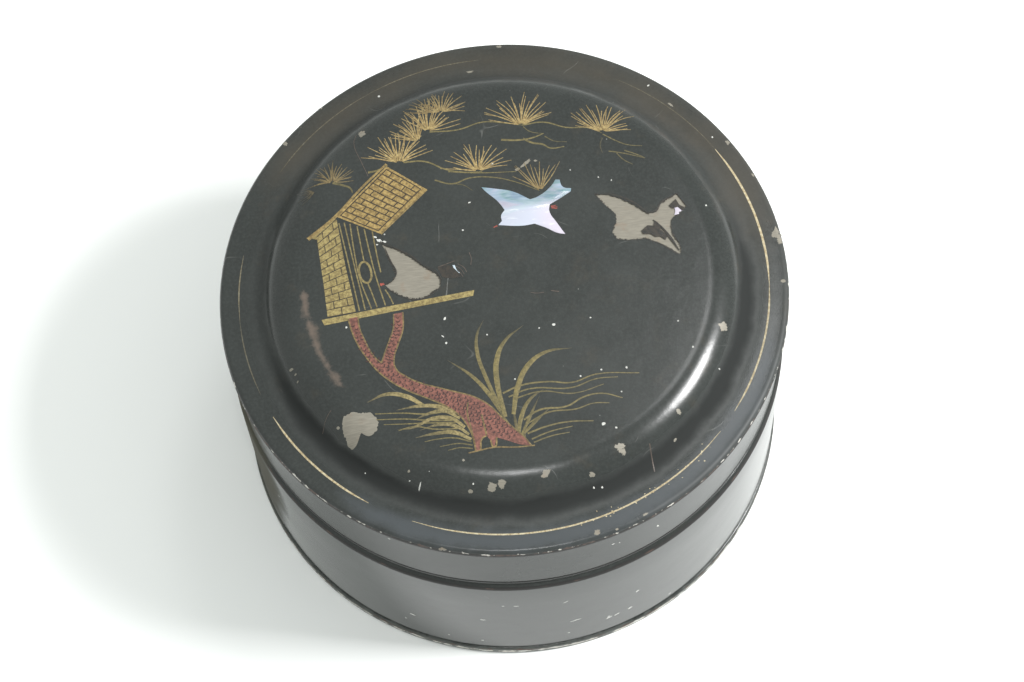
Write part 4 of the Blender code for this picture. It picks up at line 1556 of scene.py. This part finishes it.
# chips and flecks: where they are, size across in millimetres, stretch, turn in degrees
lidChips = [
    # x and y; the large one also has its reach every fifteen degrees
    (-34.1, -35.2, 8.0, 1.0, 0,
     [4.4, 4.5, 4.5, 4.3, 3.7, 3.3, 3.3, 3.7, 3.8, 4.1, 3.9, 3.6,
      3.5, 3.3, 3.4, 3.8, 4.4, 4.0, 2.4, 1.6, 1.5, 3.2, 3.8, 4.2]),
    (-38.6, -34.4, 0.8, 1.0, 0), (-5.6, -51.1, 1.9, 0.85, 0), (-3.4, -50.6, 1.6, 1.0, 0),
    (6.4, -49.2, 2.2, 0.7, 35), (22.9, -44.2, 2.0, 0.9, 0), (23.6, -45.2, 1.3, 0.8, 70),
    (36.5, -36.4, 1.2, 0.8, 130), (35.3, -41.7, 0.9, 0.5, 50), (16.3, -49.6, 1.2, 0.8, 0),
    (-10.4, -51.4, 1.0, 0.7, 0), (-11.4, -45.0, 0.6, 1.0, 0), (-23.5, -45.9, 0.6, 0.8, 0),
    (48.2, -16.6, 1.9, 1.1, 0), (16.5, -61.3, 1.5, 0.8, 20), (63.3, 8.6, 2.6, 0.8, 100),
    (63.9, 6.6, 1.8, 0.7, 80), (63.5, -3.8, 0.8, 1.4, 90), (-30.3, 38.9, 1.9, 0.8, 40),
    (-48.8, 41.6, 1.5, 0.6, -50), (-45.2, 45.8, 0.9, 0.6, -45), (-40.2, 50.6, 1.1, 0.5, -40),
    (3.0, 63.9, 1.2, 0.6, 0), (-4.3, 57.1, 1.6, 0.35, 0), (54.6, 33.2, 1.2, 0.7, -60),
    (59.6, 24.2, 0.9, 0.6, -70), (42.2, 44.5, 1.6, 0.3, -45), (7.2, 27.7, 2.6, 0.32, 38),
    (5.1, 26.2, 1.1, 0.6, 30), (9.4, 28.1, 0.8, 0.6, 0), (-48.6, -19.2, 0.9, 0.7, 0),
    (-47.6, -20.6, 0.6, 0.6, 30), (-47.2, -22.3, 0.7, 0.4, 60), (27.4, -57.9, 1.2, 0.4, 25),
    (-17.3, -62.4, 1.4, 0.3, -15), (20.9, -60.9, 0.8, 0.5, 20),
]
lidFlecks = [
    (-13.6, -10.6, 0.8, 0.6, 60), (-14.3, -14.9, 0.8, 0.4, -40), (-13.6, -16.6, 0.5, 1, 0),
    (10.6, -14.0, 0.7, 0.8, 0), (7.3, -14.6, 0.35, 1, 0), (18.9, -12.9, 0.4, 0.8, 0),
    (-35.7, -10.9, 0.5, 1, 0), (-8.3, 11.4, 0.45, 0.8, 0), (-6.4, 18.4, 0.6, 0.5, 20),
    (19.7, -38.8, 0.9, 0.8, 20), (22.4, -39.9, 0.45, 1, 0), (38.3, -15.2, 0.35, 1, 0),
    (41.0, -21.8, 0.4, 1, 0), (46.6, -26.0, 0.5, 0.6, 0), (-9.6, -50.1, 0.4, 1, 0),
    (16.6, -51.7, 0.4, 1, 0), (18.4, -51.6, 0.4, 1, 0), (47.4, 13.7, 0.4, 1, 0),
    (37.5, 50.1, 0.7, 0.5, 30), (51.2, 34.9, 0.4, 1, 0), (15.6, -27.0, 0.4, 1, 0),
    (20.3, -25.8, 0.4, 1, 0), (25.9, -25.7, 0.45, 1.2, 0), (24.3, -31.4, 0.35, 1, 0),
    (23.5, 22.6, 0.3, 1, 0), (26.4, 21.6, 0.4, 0.5, 80), (-21.4, -49.0, 1.5, 0.2, 65),
    (-23.5, -47.6, 0.3, 1, 0), (-0.6, 28.2, 0.6, 0.8, 0), (-4.4, -15.3, 0.35, 1, 0),
    (-28.3, 11.3, 0.8, 0.5, -30), (-27.4, 10.3, 1.3, 0.5, -25), (-26.2, 9.9, 1.0, 0.4, -20),
    (-27.9, 9.3, 0.5, 0.7, 0), (29.9, -60.4, 0.5, 0.7, 0), (4.7, -23.1, 0.35, 1, 0),
    (1.1, -26.6, 0.35, 1, 0), (17.2, 25.0, 0.3, 1, 0),
]
wallFlecks = [
    # degrees from +X and height
    (-94.8, 32.7, 0.7, 0.5, 0), (-92.2, 32.5, 1.3, 0.4, 0), (-82.0, 31.3, 1.4, 0.22, 35),
    (-99.2, 22.5, 1.2, 0.4, 0), (-80.0, 17.1, 2.4, 0.25, 10), (-81.6, 9.3, 0.6, 0.8, 0),
    (-72.8, 11.7, 1.6, 0.5, 15), (-71.0, 11.9, 1.4, 0.4, 20), (-68.0, 12.3, 1.2, 0.6, 30),
    (-66.4, 21.7, 1.0, 0.7, 20), (-114.6, 15.5, 1.3, 0.5, 0), (-116.4, 10.9, 0.5, 1, 0),
    (-99.8, 7.5, 0.7, 0.7, 0), (-107.0, 7.9, 0.5, 1, 0), (-58.0, 5.9, 0.9, 0.6, 0),
    (-44.0, 6.9, 1.0, 0.5, 0), (12.0, 21.0, 1.0, 0.5, 20), (48.0, 30.0, 0.8, 0.6, 0),
    (95.0, 18.0, 1.4, 0.4, 10), (140.0, 26.0, 0.9, 0.6, 0), (168.0, 12.0, 1.0, 0.5, 30),
    (-150.0, 29.9, 0.8, 0.5, 0), (70.0, 9.0, 1.1, 0.6, 0), (-20.0, 35.0, 0.7, 0.5, 0),
]
skirtFlecks = [
    (-117.0, 61.0, 0.6, 0.8, 0), (-71.8, 57.6, 0.8, 0.6, 0), (-70.4, 57.0, 0.4, 1, 0),
    (20.0, 55.0, 0.8, 0.5, 0), (110.0, 58.0, 0.7, 0.6, 0), (-160.0, 52.0, 0.6, 0.8, 0),
]
footChips = [
    (-115.0, 1.9, 1.6, 0.5, 0), (-107.5, 1.6, 2.2, 0.4, 0), (-99.5, 1.3, 1.6, 0.4, 0),
    (-91.5, 1.5, 2.4, 0.4, 0), (-87.5, 1.4, 1.2, 0.5, 0), (-60.0, 1.8, 2.0, 0.5, 0),
    (-66.5, 1.8, 2.6, 0.5, 0), (-55.0, 1.4, 1.6, 0.5, 0), (-47.0, 1.8, 1.8, 0.5, 0),
    (-41.0, 1.8, 2.4, 0.6, 0), (-36.0, 1.9, 2.2, 0.6, 0), (-25.0, 1.6, 1.6, 0.5, 0),
    (40.0, 1.5, 1.6, 0.5, 0), (92.0, 1.7, 1.8, 0.5, 0), (150.0, 1.6, 1.6, 0.5, 0),
    (-160.0, 1.5, 1.4, 0.5, 0), (10.0, 1.6, 1.5, 0.5, 0), (-128.0, 1.7, 1.2, 0.5, 0),
]
chipShape = {
    "bigFrom": 1.0,
    "largeFrom": 3.0,
    "edge": 0.05 * mm,
    # how far the outline wanders, in broad bays and in fine ones
    "broad": (0.3, 0.5),
    "fine": 0.36,
    "fineOnLobes": 0.07,
}


def onLid(x, y, away, along, up):
    right, ahead = x * mm + away, y * mm + along
    return (right, ahead, lidHeight(math.hypot(right, ahead)) + up)


def onWall(radius):
    def place(azimuth, height, away, along, up):
        angle = math.radians(azimuth) + away / radius
        return ((radius + up) * math.cos(angle), (radius + up) * math.sin(angle), height * mm + along)
    return place


def addChip(bm, first, second, across, stretch, turn, place, lift, seed, lobes=None):
    # a ragged disc, given a little thickness, and then laid on the surface
    s = chipShape
    part = bmesh.new()
    big = across > s["bigFrom"]
    segments = 48 if lobes else (24 if big else 10)
    bmesh.ops.create_circle(part, cap_ends=True, segments=segments, radius=1.0)
    if big:
        bmesh.ops.poke(part, faces=part.faces)
        cuts = 8 if across > s["largeFrom"] else 2
        bmesh.ops.subdivide_edges(part, edges=part.edges, cuts=cuts, use_grid_fill=True)
    rough = s["broad"][big]
    for vert in part.verts:
        angle = math.atan2(vert.co.y, vert.co.x)
        probe = Vector((math.cos(angle) * 1.4 + seed * 3.1, math.sin(angle) * 1.4, seed * 1.7))
        fine = Vector((math.cos(angle) * 5.0 - seed, math.sin(angle) * 5.0, seed * 0.9))
        if lobes:
            share = (angle / (2 * math.pi)) % 1 * len(lobes)
            index = int(share) % len(lobes)
            reach = lobes[index] + (lobes[(index + 1) % len(lobes)] - lobes[index]) * (share - int(share))
            vert.co *= reach / (across / 2) * (1 + s["fineOnLobes"] * noise.noise(fine * 1.7))
        else:
            vert.co *= 1 + rough * noise.noise(probe) + s["fine"] * noise.noise(fine)
    bmesh.ops.solidify(part, geom=part.faces, thickness=0.05)
    top = max(vert.co.z for vert in part.verts)
    lean = math.radians(turn)
    for vert in part.verts:
        x = vert.co.x * across / 2 * mm
        y = vert.co.y * across / 2 * stretch * mm
        up = lift if vert.co.z > top - 0.02 else lift - s["edge"]
        vert.co = place(first, second, x * math.cos(lean) - y * math.sin(lean),
                        x * math.sin(lean) + y * math.cos(lean), up)
    bmesh.ops.recalc_face_normals(part, faces=part.faces)
    addPart(bm, part)


def makeChips(name, chips, place, material, body, lift):
    bm = bmesh.new()
    for seed, (first, second, across, stretch, turn, *lobes) in enumerate(chips):
        addChip(bm, first, second, across, stretch, turn, place, lift, seed + 1, *lobes)
    newPiece(name, bm, [material], body)


def crumbsAlong(outlines, spacing):
    # dark crumbs of lacquer that make the edges of the empty beds ragged
    rng = random.Random(21)
    crumbs = []
    for outline in outlines:
        for (x, y, _), (nextX, nextY, _) in zip(outline, outline[1:] + outline[:1]):
            run = math.hypot(nextX - x, nextY - y)
            for step in range(int(run / spacing)):
                share = (step + rng.random()) * spacing / run
                size = rng.uniform(0.18, 0.5)
                crumbs.append((x + (nextX - x) * share, y + (nextY - y) * share, size,
                               rng.uniform(0.4, 1.0), rng.uniform(0, 180)))
    return crumbs


def flecksBeside(radius, start, end, count):
    rng = random.Random(8)
    flecks = []
    for _ in range(count):
        angle = math.radians(rng.uniform(start, end))
        place = radius + rng.gauss(0, 0.7)
        flecks.append((place * math.cos(angle), place * math.sin(angle), rng.uniform(0.12, 0.4),
                       rng.uniform(0.5, 1.0), rng.uniform(0, 180)))
    return flecks


crumbs = crumbsAlong([birdOutlines["flying"], birdOutlines["perched"]], 0.55)
goldDust = flecksBeside(flangeLine["radius"], -78, -44, 34)
makeChips("bedCrumbs", crumbs, onLid, glueDarkAndBedShadow, "lid", 0.022 * mm)
makeChips("goldFlecks", goldDust, onLid, edgeGold, "lid", 0.02 * mm)
makeChips("lidChips", lidChips, onLid, bareTin, "lid", 0.015 * mm)
makeChips("lidFlecks", lidFlecks, onLid, brightTin, "lid", 0.02 * mm)
makeChips("wallFlecks", wallFlecks, onWall(wallHigh.x), brightTin, "bowl", 0.02 * mm)
makeChips("skirtFlecks", skirtFlecks, onWall(skirtHigh.x), brightTin, "lid", 0.02 * mm)
makeChips("footChips", footChips, onWall(footHigh.x - bowlShape["footTrim"]), brightTin, "bowl", 0.0)
print("chips ready")


studio = {
    "floorTone": (0.87, 0.88, 0.875, 1),
    "floorHalf": 2.2,
    "floorRoughness": 0.7,
    "skyStrength": 0.86,
    "skyTone": (0.955, 1.0, 0.965, 1),
    # name, power, size, where it hangs, what height it is aimed at
    "lamps": [
        ("keyLight", 20.0, 0.31, (0.87, -0.07, 0.93), 0.04),
        ("topLight", 2.1, 0.11, (0.0, -0.265, 1.25), 0.07),
        ("backLight", 1.2, 0.22, (0.30, 0.41, 1.197), 0.07),
    ],
    "cameraPlace": (0.00104, -0.26090, 0.58895),
    "cameraLens": 90.04,
    "cameraSensor": 36.0,
    "lookDown": 64.697,
    "cameraRoll": -4.144,
}


def makeFloor():
    bm = bmesh.new()
    bmesh.ops.create_grid(bm, x_segments=4, y_segments=4, size=studio["floorHalf"])
    mesh = bpy.data.meshes.new("floor")
    bm.to_mesh(mesh)
    bm.free()
    material, tree, shader = newMaterial("paleTable", studio["floorRoughness"])
    shade = noiseValue(tree, objectSpace(tree), 9.0, 2.0)
    tone = studio["floorTone"]
    dull = (*(part * 0.985 for part in tone[:3]), 1)
    tree.links.new(mixColour(tree, shade, dull, tone), shader.inputs["Base Color"])
    mesh.materials.append(material)
    addObject("floor", mesh)


def makeLight():
    world = bpy.data.worlds.new("softStudio")
    bpy.context.scene.world = world
    world.use_nodes = True
    background = world.node_tree.nodes["Background"]
    background.inputs["Color"].default_value = studio["skyTone"]
    background.inputs["Strength"].default_value = studio["skyStrength"]
    for name, power, size, place, aimHeight in studio["lamps"]:
        lamp = bpy.data.lights.new(name, "AREA")
        lamp.energy = power
        lamp.size = size
        light = addObject(name, lamp)
        light.location = place
        toward = Vector((0, 0, aimHeight)) - Vector(place)
        light.rotation_euler = toward.to_track_quat("-Z", "Y").to_euler()


def makeCamera():
    data = bpy.data.cameras.new("camera")
    data.sensor_width = studio["cameraSensor"]
    data.lens = studio["cameraLens"]
    camera = addObject("camera", data)
    tilt = Matrix.Rotation(math.radians(90 - studio["lookDown"]), 4, "X")
    roll = Matrix.Rotation(math.radians(studio["cameraRoll"]), 4, "Z")
    camera.matrix_world = Matrix.Translation(studio["cameraPlace"]) @ tilt @ roll
    bpy.context.scene.camera = camera


makeFloor()
makeLight()
makeCamera()
bpy.context.scene.view_settings.view_transform = "Standard"

print("scene ready")
